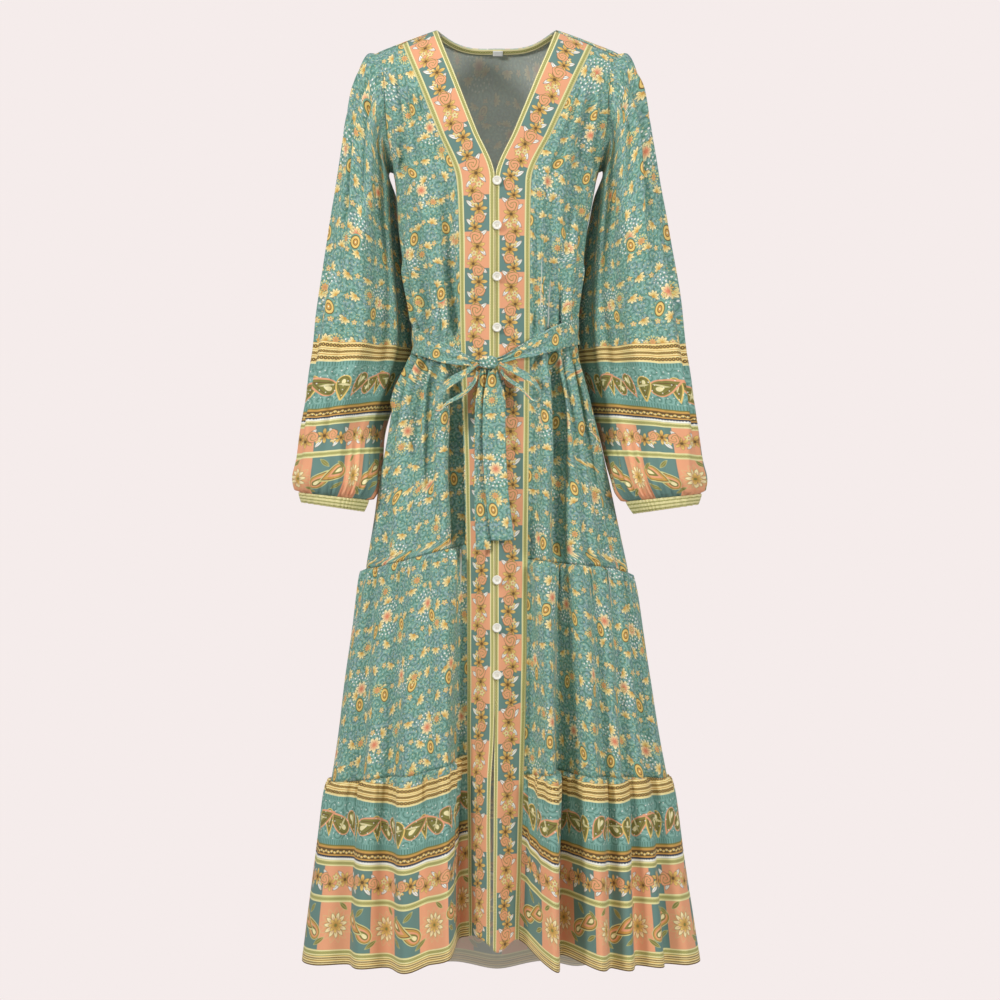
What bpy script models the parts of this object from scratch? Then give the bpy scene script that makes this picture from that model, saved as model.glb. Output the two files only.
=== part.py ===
"""A long-sleeved maxi dress with a button front, two gathered tiers and a tied belt.

The cloth hangs as if filled out: every panel is a thin wall through rings of one master
surface, which holds the outline, the depth and the folds. Metres, +Z up, the front faces -Y,
and the origin lies midway between the shoulders. Tables are in millimetres.
"""

import math

import bpy
import numpy as np
from mathutils import Matrix

NAME = "maxi_dress"
MM = 0.001

# Cloth and seams.
WALL = 0.0015
SEAM = 0.0003
BAND_LIFT = 0.00115
UNDERLAP = 0.19
BINDING_WIDTH = 0.008
BINDING_WALL = 0.0010
BINDING_OFF = 0.00230
NECK_CURVE = 0.030

# Shoulders: the ridge line falls from the neck to the tips, and the cloth turns over it.
RIDGE_TOP = 0.0454
RIDGE_SLOPE = 0.406
RIDGE_ROUND = 0.060
ARCH = 0.100
SHOULDER_SEAM = {"left": 0.014, "right": 0.024}
UNDERARM = 0.1826
# How square the back neckline is: 2 is an oval.
NECK_SQUARE = 2.6
NECK_HALF = 0.0865
BACK_NECK = 0.0505

# Gathers: how far a wave stands out, and how far down it runs.
GATHER_HEIGHT = 0.0024
GATHER_RUN = 0.055
GATHER_TWIST = 0.00010
GATHER_BEND = 0.60
PUFF_HEIGHT = 0.004
PUFF_RUN = 0.014
PUFF_EDGE = 0.08

BODY = {
    # mm: drop below the shoulder point, half widths, depths in front and behind
    "drop": (-60, 0, 36, 72, 108, 144, 165, 178, 216, 259, 317, 403, 440, 492, 562, 634, 677,
             742, 816, 900, 994, 1044, 1079, 1163, 1253, 1310, 1400),
    "left": (200, 197, 186, 181, 175, 163, 153, 149, 144, 141, 133, 119, 120, 143, 157, 170, 176,
             187, 200, 215, 228, 236, 243, 258, 272, 279, 284),
    "right": (202, 199, 188, 180, 174, 160, 151, 146, 138, 130, 123, 114, 117, 131, 147, 163, 172,
              186, 201, 217, 233, 243, 251, 266, 282, 291, 296),
    "front": (70, 78, 84, 88, 90, 91, 91, 91, 90, 88, 84, 76, 76, 80, 87, 94, 98,
              102, 107, 112, 117, 120, 122, 126, 129, 131, 132),
    "back": (82, 92, 98, 102, 105, 106, 106, 106, 104, 102, 98, 90, 90, 96, 106, 114, 119,
             125, 131, 139, 147, 152, 154, 160, 166, 169, 171),
}
ARMHOLE = {
    # mm along the cloth from the ridge, and the seam's angle round the body in degrees
    "reach": (0, 55, 82, 109, 147, 169, 182.6),
    "angle": (62, 61, 62, 64.5, 70, 78, 90),
}
BANDS = {
    # mm: where each front band begins and ends, from the neck to the hem
    "drop": (-26, 0, 60, 130, 195, 215, 260, 420, 520, 740, 900, 980, 1040, 1160, 1310),
    "left_outer": (-142, -134, -111, -84, -58.5, -56.5, -55, -54.5, -50, -45, -44, -44, -43.5, -42, -40),
    "left_inner": (-86, -77.7, -55.4, -28.4, -2.9, -3.4, -3.4, -3.4, -3.4, -3.4, -3.4, -4.5, -7.9, -8.5, -9),
    "right_inner": (84.5, 76.1, 52.7, 24.3, -2.5, -3.4, -3.4, -3.4, -3.4, -3.4, -3.4, -3.6, -4.0, -4.6, -5.2),
    "right_outer": (147, 137, 110.6, 79, 49.5, 48.5, 48, 48, 47, 44.5, 42.5, 40.5, 38.7, 35, 30),
}
SEAMS = {
    # mm: where each seam line lies across the front
    "tier_1": {
        "across": (-196, -145, -101, -75, -46, 42, 75, 115, 156, 196),
        "drop": (750, 737, 725, 718, 711, 730, 735, 739, 744, 757),
    },
    "tier_2": {
        "across": (-242, -191, -151, -104, -76, -45, 43, 83, 108, 145, 205, 248),
        "drop": (1051, 1043, 1035, 1027, 1016, 1004, 1031, 1024, 1029, 1034, 1039, 1046),
    },
    "hem": {
        "across": (-279, -200, -150, -118, -100, -72, -56, -41, -8, -5, 30, 43, 60, 72, 90, 103, 140,
                   164, 200, 240, 290),
        "drop": (1306, 1300, 1300, 1298, 1292, 1278, 1264, 1255, 1262, 1266, 1259, 1268, 1286, 1294,
                 1291, 1288, 1296, 1301, 1300, 1302, 1306),
    },
}
BACK_HEM_DIP = 0.050
# Drops between which each tier's columns follow the folds, and where they are evenly spaced.
TIER_LEVELS = {"tier_1": (0.74, 1.03), "tier_2": (1.03, 1.29)}
COLUMN_DROP = 0.98
FINE_STEPS = 1501
SETTLE_ROUNDS = 8
PLACE_STEP = 0.002
REACH_STEP = 0.0006

# A start and a run in metres: where the folds lean, and where the columns begin to follow them.
LEAN_FROM = (0.45, 0.85)
FOLLOW_FROM = (0.05, 0.16)

FOLD_PLACE_DROPS = (200, 420, 740, 1300)
FOLD_HEIGHT_DROPS = (70, 200, 420, 740, 1040, 1300)
FOLD_COLUMNS = ("chest_at", "waist_at", "tier_at", "hem_at", "top", "chest", "waist", "tier_1",
                "tier_2", "hem", "lean")
# One row a ridge or a valley: where it runs, in hundredths of the way from the side seam to the
# band, how far it stands out or sinks in at each level, and how far it leans to the centre, in mm.
FOLDS = {
    "left": (
        (0, 0, 0, 0, 0, 0, 0, 0, 0, 0, 0),
        (18, 16, 22, 32, 0, 1, 2, 4, 8, 11, 0),
        (34, 31, 36, 48, 0, -4, -4, -3, -8, -12, 0),
        (44, 44, 47, 58, 0, 2, 4, 3, 7, 11, 0),
        (53, 56, 58, 68, 0, 4, -5, -3, -9, -13, 0),
        (63, 66, 69, 78, 0, 5, 4, 5, 14, 22, 3),
        (72, 76, 79, 86, 0, 2, -3, 2, 6, 8, 0),
        (80, 84, 88, 92, 0, -5, 5, 8, 20, 26, 9),
        (90, 93, 96, 97, 0, -8, -14, -24, -32, -42, -4),
        (100, 100, 100, 100, 0, -4, -10, -20, -24, -27, 0),
        (200, 200, 200, 200, 0, 1, 2, 5, 9, 12, 0),
    ),
    "right": (
        (0, 0, 0, 0, 0, 0, 0, 0, 0, 0, 0),
        (14, 10, 18, 30, 0, 0, 1, 3, 8, 11, 0),
        (24, 22, 28, 39, 0, 0, -3, -3, -8, -12, 0),
        (34, 34, 38, 47, 0, 0, 3, 4, 8, 12, 0),
        (43, 42, 46, 55, 0, -1, -4, -3, -9, -14, 0),
        (52, 50, 53, 61, 0, 2, 4, 3, 8, 12, 0),
        (60, 57, 60, 66, 0, 1, -3, -3, -8, -14, 0),
        (68, 64, 68, 73, 0, 3, 4, 7, 16, 24, 0),
        (78, 74, 80, 82, 0, -3, -12, -20, -40, -55, 5),
        (87, 87, 92, 91, 0, 2, 6, 14, 26, 32, -8),
        (94, 95, 97, 97, 0, -2, -6, -14, -22, -28, 0),
        (100, 100, 100, 100, 0, -3, -6, -12, -18, -25, 0),
        (200, 200, 200, 200, 0, 1, 2, 5, 9, 12, 0),
        (219, 219, 219, 219, 0, 0.4, 0.7, 2.2, 5.3, 7.7, 0),
    ),
    "back": (
        (0, 0, 0, 0, 0, 0, 0, 0, 0, 0, 0),
        (11, 10, 11, 11, 0, 1, 2, 5, 9, 12, 0),
        (19, 18, 19, 18, 0, -2, -4, -6, -12, -18, 0),
        (27, 28, 27, 27, 0, 1, 4, 8, 15, 22, 2),
        (35, 37, 35, 35, 0, -2, -4, -10, -20, -30, 0),
        (43, 44, 42, 43, 0, 1, 3, 8, 14, 20, 0),
        (50, 50, 50, 50, 0, -1, -4, -7, -14, -22, 0),
        (57, 56, 58, 57, 0, 1, 3, 9, 17, 24, 0),
        (65, 63, 65, 65, 0, -2, -4, -10, -22, -32, 0),
        (73, 72, 73, 73, 0, 1, 4, 8, 14, 20, -2),
        (81, 82, 81, 82, 0, -2, -4, -6, -12, -18, 0),
        (89, 90, 89, 89, 0, 1, 2, 5, 9, 12, 0),
        (100, 100, 100, 100, 0, 0, 0, 0, 0, 0, 0),
    ),
}

# Rows of each upper panel, as the way along the cloth from the ridge down to the underarm.
ARMHOLE_ROWS = (0.042, 0.068, 0.095, 0.124, 0.149, 0.168, UNDERARM)
BODICE_ROWS = (0.13, 0.26, 0.36, 0.43, 0.49, 0.60, 0.80, 1.0)
# The back's rows over the shoulders: the lowest of them, and the least reach between rows.
BACK_ROW = 0.040
NECK_ROW_GAP = 0.012
ROW_GAP = 0.010
TIER_1_ROWS = (0.0, 0.05, 0.16, 0.42, 0.72, 1.0)
TIER_2_ROWS = (0.0, 0.06, 0.18, 0.45, 0.72, 1.0)
COLUMNS = {"left": 24, "right": 22, "back": 36}
BAND_COLUMNS = (1.0, 1.27, 1.54, 1.77, 2.0)
# The underlap's share at each column of a band, and a start and a run, in metres of drop, for
# where it comes and goes and for where the bands lift off each other.
UNDERLAP_SHARE = (0.0, 0.3, 0.6, 1.0, 1.0)
UNDERLAP_FROM = (0.19, 0.02)
UNDERLAP_TO = (0.95, 0.03)
LIFT_FROM = (0.09, 0.08)
LIFT_PLACES = 0.5
# How the columns of each tier are split and the gathers' wave over them.
SPLIT = {"tier_1": 1, "tier_2": 2}
WAVE = {"tier_1": (1.0, -1.0), "tier_2": (1.0, -0.9, 0.1)}

SLEEVES = {
    # mm: the outer and the inner edge from the shoulder to the cuff, half the depth, the middle
    # of the depth and how far the inner edge lies behind it
    "left": {
        "along": (0, 6, 12, 20, 30, 42, 55, 66, 78, 88, 95, 100),
        "outer_x": (-173.5, -187, -199, -209, -219.5, -235, -249.5, -262, -272, -280, -283, -281),
        "outer_drop": (4, 14, 40, 84, 150, 250, 350, 430, 504, 562, 618, 637),
        "inner_x": (-149, -155, -156, -147, -142.5, -134, -124, -122, -140, -162.5, -170, -184),
        "inner_drop": (176, 174, 184, 207, 245, 305, 374, 432, 482, 550, 612, 648),
        "depth": (48, 53, 54, 55, 55, 56, 57, 58, 58, 57, 51, 40),
        "centre_y": (6, 6, 6, 4, 0, -8, -18, -25, -30, -32, -32, -31),
        "inner_y": (0, 6, 12, 24, 38, 52, 62, 68, 70, 58, 24, 0),
    },
    "right": {
        "along": (0, 6, 12, 20, 30, 42, 55, 66, 78, 88, 95, 100),
        "outer_x": (175.5, 189, 200, 210, 222, 239, 256, 269, 280, 287, 291, 290),
        "outer_drop": (6, 14, 38, 80, 144, 245, 345, 430, 504, 562, 616, 639),
        "inner_x": (146, 152, 152, 142, 134, 123.5, 117, 118.5, 131, 147.5, 165, 185),
        "inner_drop": (176, 173, 184, 207, 245, 305, 374, 432, 482, 550, 612, 650),
        "depth": (48, 53, 54, 55, 55, 56, 57, 58, 58, 57, 51, 40),
        "centre_y": (6, 6, 6, 4, 0, -8, -18, -25, -30, -32, -32, -31),
        "inner_y": (0, 6, 12, 24, 38, 52, 62, 68, 70, 58, 24, 0),
    },
}
SLEEVE_BLEND = 0.20
SLEEVE_ROWS = (0.0, 0.05, 0.12, 0.21, 0.34, 0.49, 0.65, 0.80, 0.92, 1.0)
# Degrees round the sleeve at its columns, over the front to the underarm and back over the back.
SLEEVE_COLUMNS = (0, 22, 42, 60, 78, 92, 106, 115, 124, 134, 144, 154, 165, 173,
                  180, 189, 199, 209, 219, 230, 240, 249, 258, 266, 275, 284, 294, 305, 317, 329,
                  340, 350)
SLEEVE_FOLD_ALONG = (0, 12, 30, 60, 85, 100)
# One row a ridge or a valley: its angle round the sleeve from the outer edge over the front, and
# how far it stands out at each level, in mm.
SLEEVE_FOLDS = (
    (0, 0, 0, 0, 0, 0, 0),
    (45, 0, 1, 2, 2, 2, 0),
    (92, 0, 5, 9, 8, 4, 0),
    (106, 0, -4, -9, -9, -4, 0),
    (124, 0, 3, 5, 6, 3, 0),
    (144, 0, -3, -8, -8, -4, 0),
    (165, 0, -1, -3, -3, -1, 0),
    (180, 0, 0, 0, 0, 0, 0),
    (215, 0, 0, -3, -4, -2, 0),
    (240, 0, 2, 5, 6, 3, 0),
    (262, 0, -3, -7, -7, -4, 0),
    (286, 0, 4, 6, 6, 3, 0),
    (320, 0, -1, -3, -3, -2, 0),
    (360, 0, 0, 0, 0, 0, 0),
)
HEAD_GATHER = 0.0022
HEAD_GATHER_IN = 0.05
HEAD_GATHER_OUT = (0.30, 0.25)
# Degrees from the underarm where the gathers begin, and over which they reach their full height.
HEAD_PLAIN = (16.4, 81.8)
HEAD_WAVE = (1.0, -0.9, 0.1)
CUFF_GATHER = 0.0020
CUFF_GATHER_RUN = 0.05
CUFF_BOTTOM = {
    # mm: the outer and the inner point of the cuff's lower edge, and half its depth
    "left": {"outer": (-277, 651), "inner": (-191, 664), "depth": 38},
    "right": {"outer": (285, 654), "inner": (196, 667), "depth": 38},
}
CUFF_CENTRE_Y = -0.031

BELT = {
    # mm across the front: the middle's drop and the width
    "across": (-122, -101, -66, -42, -27, 5, 30, 50, 76, 100, 117),
    "drop": (418, 426, 442, 451, 456, 452, 441, 433, 421, 412, 406),
    "width": (39, 35, 27, 17, 9, 9, 18, 27, 34, 37, 38),
}
BELT_BACK_DROP = 0.410
BELT_BACK_WIDTH = 0.039
BELT_COLUMNS = 48
BELT_HALF = 0.119
# Cosines of the angle round the waist: where the front's table gives way to the back's level,
# over how much, and where the belt stands fully off the front and the back.
BELT_FRONT = (0.05, 0.15)
BELT_AHEAD = 0.6
BELT_OFF = {"side": 0.0032, "front": 0.0100, "back": 0.0085}
BELT_WALL = 0.0012
KNOT_CENTRE = (-0.0115, -0.0954, -0.4560)
KNOT_SIZE = (0.0270, 0.0150, 0.0190)
KNOT_ROUND = 0.0042
LOOPS = {
    # mm: the front rim of each loop of the bow, out from the knot and back to it, and the share
    # of its width that shows at each point
    "left": {
        "x": (-25.7, -45, -62, -76, -84, -87, -84, -77, -68, -46, -31, -27.5),
        "z": (-460.5, -479, -491, -502, -511, -519, -524, -522, -511, -498, -481, -470),
        "share": (0.3, 0.7, 0.95, 0.8, 0.55, 0.4, 0.3, 0.35, 0.6, 0.7, 0.5, 0.3),
        "lean": -4,
    },
    "right": {
        "x": (2.7, 20, 35, 48, 57, 60, 57, 50, 41, 31, 13, 5.5),
        "z": (-460.5, -472, -480, -488, -497, -504, -509, -508, -499, -487, -476, -468.5),
        "share": (0.3, 0.6, 0.75, 0.7, 0.5, 0.35, 0.3, 0.3, 0.45, 0.5, 0.35, 0.25),
        "lean": 4,
    },
}
LOOP_WIDTH = (0.020, 0.015)
LOOP_Y = (-0.1010, -0.0110)
TAILS = {
    # mm: the edges of each tail of the belt, and how far each edge stands off the front
    "front": {
        "drop": (466, 500, 552, 625, 704),
        "left_x": (-11.5, -18, -20, -17, -8),
        "right_x": (1.5, 11, 12, 15, 24),
        "left_off": (17, 17, 17, 17, 17),
        "right_off": (16, 14.5, 14, 14, 14.5),
    },
    "back": {
        "drop": (466, 510, 577, 650, 717),
        "left_x": (-23, -30, -31, -31, -28),
        "right_x": (-15.5, -9, -9, -9, -8),
        "left_off": (18, 16, 16, 16, 16),
        "right_off": (17, 9.5, 8.6, 8.6, 9.2),
    },
}
TAIL_ROWS = 9

BUTTON_DROPS = (202, 264, 335, 406, 476, 548, 619, 690, 759, 825, 890)
BUTTON_X = 0.0002
BUTTON_RADIUS = 0.0065
BUTTON_THICK = 0.0024
BUTTON_SIDES = 12
BUTTON_CLEAR = 0.0003
BUTTON_SAMPLES = 9
LABEL = {"across": (-0.0062, 0.0088), "below": (0.0015, 0.0100)}
LABEL_OFF = 0.0038
LABEL_WALL = 0.0010
LABEL_COLUMNS = 4

COLOURS = {
    "cloth": (0.16, 0.33, 0.30, 1.0),
    "band": (0.62, 0.42, 0.24, 1.0),
    "trim": (0.55, 0.52, 0.24, 1.0),
    "button": (0.85, 0.83, 0.78, 1.0),
    "label": (0.88, 0.88, 0.86, 1.0),
}
SIDE_SIGN = {"left": -1.0, "right": 1.0}


def metres(values):
    return np.array(values, float) * MM


def smooth(fraction):
    f = np.clip(fraction, 0.0, 1.0)
    return f * f * (3.0 - 2.0 * f)


def curve(knots, values, x):
    """A smooth curve through a table's points, level past both ends."""
    knots, values, x = np.asarray(knots, float), np.asarray(values, float), np.asarray(x, float)
    slopes = np.gradient(values, knots)
    i = np.clip(np.searchsorted(knots, x) - 1, 0, len(knots) - 2)
    step = knots[i + 1] - knots[i]
    f = np.clip((x - knots[i]) / step, 0.0, 1.0)
    low = (1 + 2 * f) * (1 - f) ** 2 * values[i] + f * (1 - f) ** 2 * step * slopes[i]
    high = f * f * (3 - 2 * f) * values[i + 1] + f * f * (f - 1) * step * slopes[i + 1]
    return low + high


def column(table, name, drop, key="drop"):
    return curve(metres(table[key]), metres(table[name]), drop)


def unit(vectors):
    return vectors / np.maximum(np.linalg.norm(vectors, axis=-1, keepdims=True), 1e-12)


# ---- the master surface ----


def ridge(x):
    """Height of the shoulder line above the shoulder point."""
    return RIDGE_TOP - RIDGE_SLOPE * (np.sqrt(x * x + RIDGE_ROUND**2) - RIDGE_ROUND)


def fade(value, start_and_run):
    """0 before the start, 1 once the run is over."""
    return smooth((value - start_and_run[0]) / start_and_run[1])


def half_width(angle, drop):
    return np.where(angle < 0, column(BODY, "left", drop), column(BODY, "right", drop))


def seam_angle(reach):
    """The armhole's angle round the body, or the side seam's below the underarm."""
    degrees = np.interp(reach, metres(ARMHOLE["reach"]), ARMHOLE["angle"])
    return np.radians(degrees)


def angle_of(x, drop):
    width = half_width(x, drop)
    return np.arcsin(np.clip(x / width, -1.0, 1.0))


def panel_angle(part, place, reach, drop):
    """Angle round the body of a place across a panel: 0 to 1 is the panel, 1 to 2 its band."""
    edge = seam_angle(reach)
    if part == "back":
        return edge * (2.0 * place - 1.0)
    outer = angle_of(column(BANDS, part + "_outer", drop), drop)
    inner = angle_of(column(BANDS, part + "_inner", drop), drop)
    panel = SIDE_SIGN[part] * edge * (1.0 - place) + outer * place
    band = outer + (inner - outer) * (place - 1.0)
    return np.where(place <= 1.0, panel, band)


def fold_shape(part, place, drop):
    """Height and lean of the folds at a place across a panel."""
    rows = [dict(zip(FOLD_COLUMNS, row)) for row in FOLDS[part]]
    place_names, height_names = FOLD_COLUMNS[:4], FOLD_COLUMNS[4:10]
    places = [curve(metres(FOLD_PLACE_DROPS), [row[n] / 100 for n in place_names], drop) for row in rows]
    heights = [curve(metres(FOLD_HEIGHT_DROPS), [row[n] * MM for n in height_names], drop) for row in rows]
    leans = [row["lean"] * MM * fade(drop, LEAN_FROM) for row in rows]
    height = np.where(place > places[0], heights[-1], heights[0])
    lean = np.zeros_like(height)
    for k in range(len(rows) - 1):
        inside = (place >= places[k]) & (place <= places[k + 1])
        f = smooth((place - places[k]) / (places[k + 1] - places[k]))
        height = np.where(inside, heights[k] + f * (heights[k + 1] - heights[k]), height)
        lean = np.where(inside, leans[k] + f * (leans[k + 1] - leans[k]), lean)
    return height, lean


def surface(part, place, reach):
    """Middle of the cloth at a place across a panel and a reach along it from the ridge."""
    place, reach = np.broadcast_arrays(np.asarray(place, float), np.asarray(reach, float))
    side = np.where(reach < 0, -1.0, 1.0) * (1.0 if part == "back" else -1.0)
    along = np.abs(reach)
    turn = np.clip(along / ARCH, 0.0, 1.0) * math.pi / 2
    below = np.where(along < ARCH, ARCH * (1 - np.cos(turn)), along)
    swell = np.sin(turn)
    drop = below.copy()
    for _ in range(SETTLE_ROUNDS):
        angle = panel_angle(part, place, along, drop)
        wide = half_width(angle, drop)
        drop = below - ridge(wide * np.sin(angle))
    deep = np.where(side < 0, column(BODY, "front", drop), column(BODY, "back", drop))
    x = wide * np.sin(angle)
    y = side * deep * np.cos(angle) * swell
    out = unit(np.stack([deep * np.sin(angle), side * wide * np.cos(angle)], -1))
    height, lean = fold_shape(part, place, drop)
    lean = lean * (1.0 if part == "right" else -1.0)
    x = x + out[..., 0] * height + out[..., 1] * lean * side * -1.0
    y = y + out[..., 1] * height + out[..., 0] * lean * side
    return np.stack([x, y, -drop], -1)


def cloth(part, place, reach):
    """Points of the cloth with the direction that faces out."""
    points = surface(part, place, reach)
    across = surface(part, place + PLACE_STEP, reach) - surface(part, place - PLACE_STEP, reach)
    down = surface(part, place, reach + REACH_STEP) - surface(part, place, reach - REACH_STEP)
    out = unit(np.cross(across, down)) * (-1.0 if part == "left" else 1.0)
    return points, out


def reach_at(part, place, drop):
    """Reach of a drop well below the arch of the shoulder."""
    angle = panel_angle(part, place, UNDERARM, drop)
    return drop + ridge(half_width(angle, drop) * np.sin(angle))


def seam_reach(part, place, seam):
    """Reach of a seam or hem line at each place across a panel."""
    table = SEAMS[seam]
    across, drops = metres(table["across"]), metres(table["drop"])
    level = np.full_like(place, drops.mean())
    angle = panel_angle(part, place, UNDERARM, level)
    x = half_width(angle, level) * np.sin(angle)
    drop = curve(across, drops, x)
    if part == "back":
        drop = np.interp(x, (across[0], across[-1]), (drops[0], drops[-1]))
        if seam == "hem":
            drop = drop + BACK_HEM_DIP * np.cos(angle) ** 2
    return reach_at(part, place, drop)


# ---- walls ----


def add_object(name, points, faces, colour):
    mesh = bpy.data.meshes.new(name)
    mesh.from_pydata([tuple(p) for p in points], [], faces)
    mesh.validate()
    mesh.materials.append(material(colour))
    obj = bpy.data.objects.new(name, mesh)
    bpy.data.collections[NAME].objects.link(obj)
    return obj


def material(colour):
    name = "dress_" + colour
    if name in bpy.data.materials:
        return bpy.data.materials[name]
    made = bpy.data.materials.new(name)
    made.use_nodes = True
    shader = made.node_tree.nodes["Principled BSDF"]
    shader.inputs["Base Color"].default_value = COLOURS[colour]
    shader.inputs["Roughness"].default_value = 0.35 if colour == "button" else 0.85
    shader.inputs["Metallic"].default_value = 0.0
    return made


def wall(name, points, out, colour, thick=WALL, tube=False):
    """A closed wall through a grid of points, half its thickness to either side."""
    rows, columns = points.shape[:2]
    layers = [points + out * thick / 2, points - out * thick / 2]
    verts = np.concatenate([layer.reshape(-1, 3) for layer in layers])
    count = rows * columns
    cells = columns if tube else columns - 1
    flip = faces_inward(points, out)
    faces = []

    def face(*corners):
        faces.append(corners[::-1] if flip else corners)

    def index(layer, row, col):
        return layer * count + row * columns + col % columns

    for r in range(rows - 1):
        for c in range(cells):
            outer = [index(0, r, c), index(0, r, c + 1), index(0, r + 1, c + 1), index(0, r + 1, c)]
            inner = [corner + count for corner in outer]
            face(outer[0], outer[1], outer[2])
            face(outer[0], outer[2], outer[3])
            face(inner[2], inner[1], inner[0])
            face(inner[3], inner[2], inner[0])
    for c in range(cells):
        top, bottom = 0, rows - 1
        face(index(0, top, c + 1), index(0, top, c), index(1, top, c))
        face(index(0, top, c + 1), index(1, top, c), index(1, top, c + 1))
        face(index(0, bottom, c), index(0, bottom, c + 1), index(1, bottom, c + 1))
        face(index(0, bottom, c), index(1, bottom, c + 1), index(1, bottom, c))
    if not tube:
        for r in range(rows - 1):
            left, right = 0, columns - 1
            face(index(0, r, left), index(0, r + 1, left), index(1, r + 1, left))
            face(index(0, r, left), index(1, r + 1, left), index(1, r, left))
            face(index(0, r + 1, right), index(0, r, right), index(1, r, right))
            face(index(0, r + 1, right), index(1, r, right), index(1, r + 1, right))
    return add_object(name, verts, faces, colour)


def faces_inward(points, out):
    """Whether the grid's own winding faces against the way that the wall faces out."""
    across = points[1:, 1:] - points[1:, :-1]
    down = points[1:, 1:] - points[:-1, 1:]
    facing = np.cross(across, down)
    return float((facing * out[1:, 1:]).sum()) < 0


def inward(edge, out, next_line):
    """Directions square to an edge within the cloth, towards the next line of points."""
    square = unit(np.cross(np.gradient(edge, axis=0), out))
    facing = np.sign((square * (next_line - edge)).sum(axis=-1, keepdims=True))
    return square * facing


def turning(out, square):
    """How much the directions along an edge turn across it, from each point to its neighbours."""
    step = np.abs((np.diff(out, axis=0) * square[1:]).sum(axis=-1))
    return np.maximum(np.append(step, 0.0), np.append(0.0, step))


def pulled_edge(edge, out, next_line):
    """An edge drawn back by half a seam gap, and a little more where the cloth twists."""
    square = inward(edge, out, next_line)
    pull = SEAM / 2 + WALL / 4 * turning(out, square)
    return square * pull[:, None]


def pull_edges(points, out, sides=(True, True)):
    """Draws the top, the bottom and the chosen sides of a grid back from their seams."""
    pulled = points.copy()
    pulled[0] += pulled_edge(points[0], out[0], points[1])
    pulled[-1] += pulled_edge(points[-1], out[-1], points[-2])
    if sides[0]:
        pulled[:, 0] += pulled_edge(points[:, 0], out[:, 0], points[:, 1])
    if sides[1]:
        pulled[:, -1] += pulled_edge(points[:, -1], out[:, -1], points[:, -2])
    return pulled


# ---- panels ----


def fold_places(part, drop):
    """Where a panel's folds run at one level, up to the edge of its band."""
    rows = [row for row in FOLDS[part] if row[0] <= 100]
    return [float(curve(metres(FOLD_PLACE_DROPS), [v / 100 for v in row[:4]], drop)) for row in rows]


def even_steps(part, columns, drop):
    """Places of the columns at one level, as fold coordinates even along the folded cloth."""
    fine = np.linspace(0.0, 1.0, FINE_STEPS)
    reach = reach_at(part, fine, np.full_like(fine, drop))
    points = surface(part, fine, reach)
    length = np.concatenate([[0.0], np.cumsum(np.linalg.norm(np.diff(points, axis=0), axis=1))])
    places = np.interp(np.linspace(0, length[-1], columns + 1), length, fine)
    marks = fold_places(part, drop)
    return np.interp(places, marks, range(len(marks)))


def follow_folds(part, steps, drop):
    marks = fold_places(part, drop)
    return np.interp(steps, range(len(marks)), marks)


def top_places(part, columns):
    """Places along the shoulder, closer together where the back neck turns down."""
    if part != "back":
        return np.linspace(0.0, 1.0, columns + 1)
    edge = float(seam_angle(0.0))
    ends = [0.5 + 0.5 * float(angle_of(x, -ridge(x))) / edge for x in (-NECK_HALF, NECK_HALF)]
    shoulder = columns // 4
    neck = columns - 2 * shoulder
    turn = 0.5 - 0.5 * np.cos(np.linspace(0, math.pi, neck + 1))
    middle = ends[0] + (ends[1] - ends[0]) * turn
    left = np.linspace(0.0, ends[0], shoulder + 1)[:-1]
    right = np.linspace(ends[1], 1.0, shoulder + 1)[1:]
    return np.concatenate([left, middle, right])


def upper_rows(part, place):
    """Reach of each row of an upper panel, from the shoulder seam to the first tier."""
    bottom = seam_reach(part, place, "tier_1")
    rows = [np.full_like(place, reach) for reach in ARMHOLE_ROWS]
    rows += [UNDERARM + (bottom - UNDERARM) * f for f in BODICE_ROWS]
    return rows


def front_top(part, place):
    return np.full_like(place, SHOULDER_SEAM[part])


def back_top(place):
    """Reach of the back's top edge: forward of the ridge on the shoulders, low at the neck."""
    edge = float(seam_angle(0.0))
    x = half_width(np.array(0.0), 0.0) * np.sin((2 * place - 1) * edge)
    seam = np.where(place < 0.5, SHOULDER_SEAM["left"], SHOULDER_SEAM["right"])
    neck = 1 - np.clip(np.abs(x) / NECK_HALF, 0, 1) ** NECK_SQUARE
    return -seam + (BACK_NECK + seam) * np.sqrt(neck)


def upper_grid(part):
    columns = COLUMNS[part]
    steps = even_steps(part, columns, COLUMN_DROP)
    top = top_places(part, columns)
    waist = TIER_LEVELS["tier_1"][0]
    levels = [*ARMHOLE_ROWS, *[UNDERARM + (waist - UNDERARM) * f for f in BODICE_ROWS]]
    places, reaches = [top], [front_top(part, top)] if part != "back" else [back_top(top)]
    if part == "back":
        third = np.maximum(reaches[0] + NECK_ROW_GAP, BACK_ROW)
        places += [top, top]
        reaches += [(reaches[0] + third) / 2, third]
    for r, drop in enumerate(levels):
        mix = fade(drop, FOLLOW_FROM)
        place = top * (1 - mix) + follow_folds(part, steps, drop) * mix
        reach = upper_rows(part, place)[r]
        if part == "back":
            reach = np.maximum(reach, reaches[-1] + ROW_GAP)
        places.append(place)
        reaches.append(reach)
    return np.array(places), np.array(reaches)


def tier_grid(part, tier):
    seams = {"tier_1": ("tier_1", "tier_2"), "tier_2": ("tier_2", "hem")}[tier]
    fractions = {"tier_1": TIER_1_ROWS, "tier_2": TIER_2_ROWS}[tier]
    levels = TIER_LEVELS[tier]
    steps = split_between(even_steps(part, COLUMNS[part], COLUMN_DROP), SPLIT[tier])
    places, reaches = [], []
    for f in fractions:
        place = follow_folds(part, steps, levels[0] + (levels[1] - levels[0]) * f)
        top, bottom = (seam_reach(part, place, seam) for seam in seams)
        places.append(place)
        reaches.append(top + (bottom - top) * f)
    return np.array(places), np.array(reaches)


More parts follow.
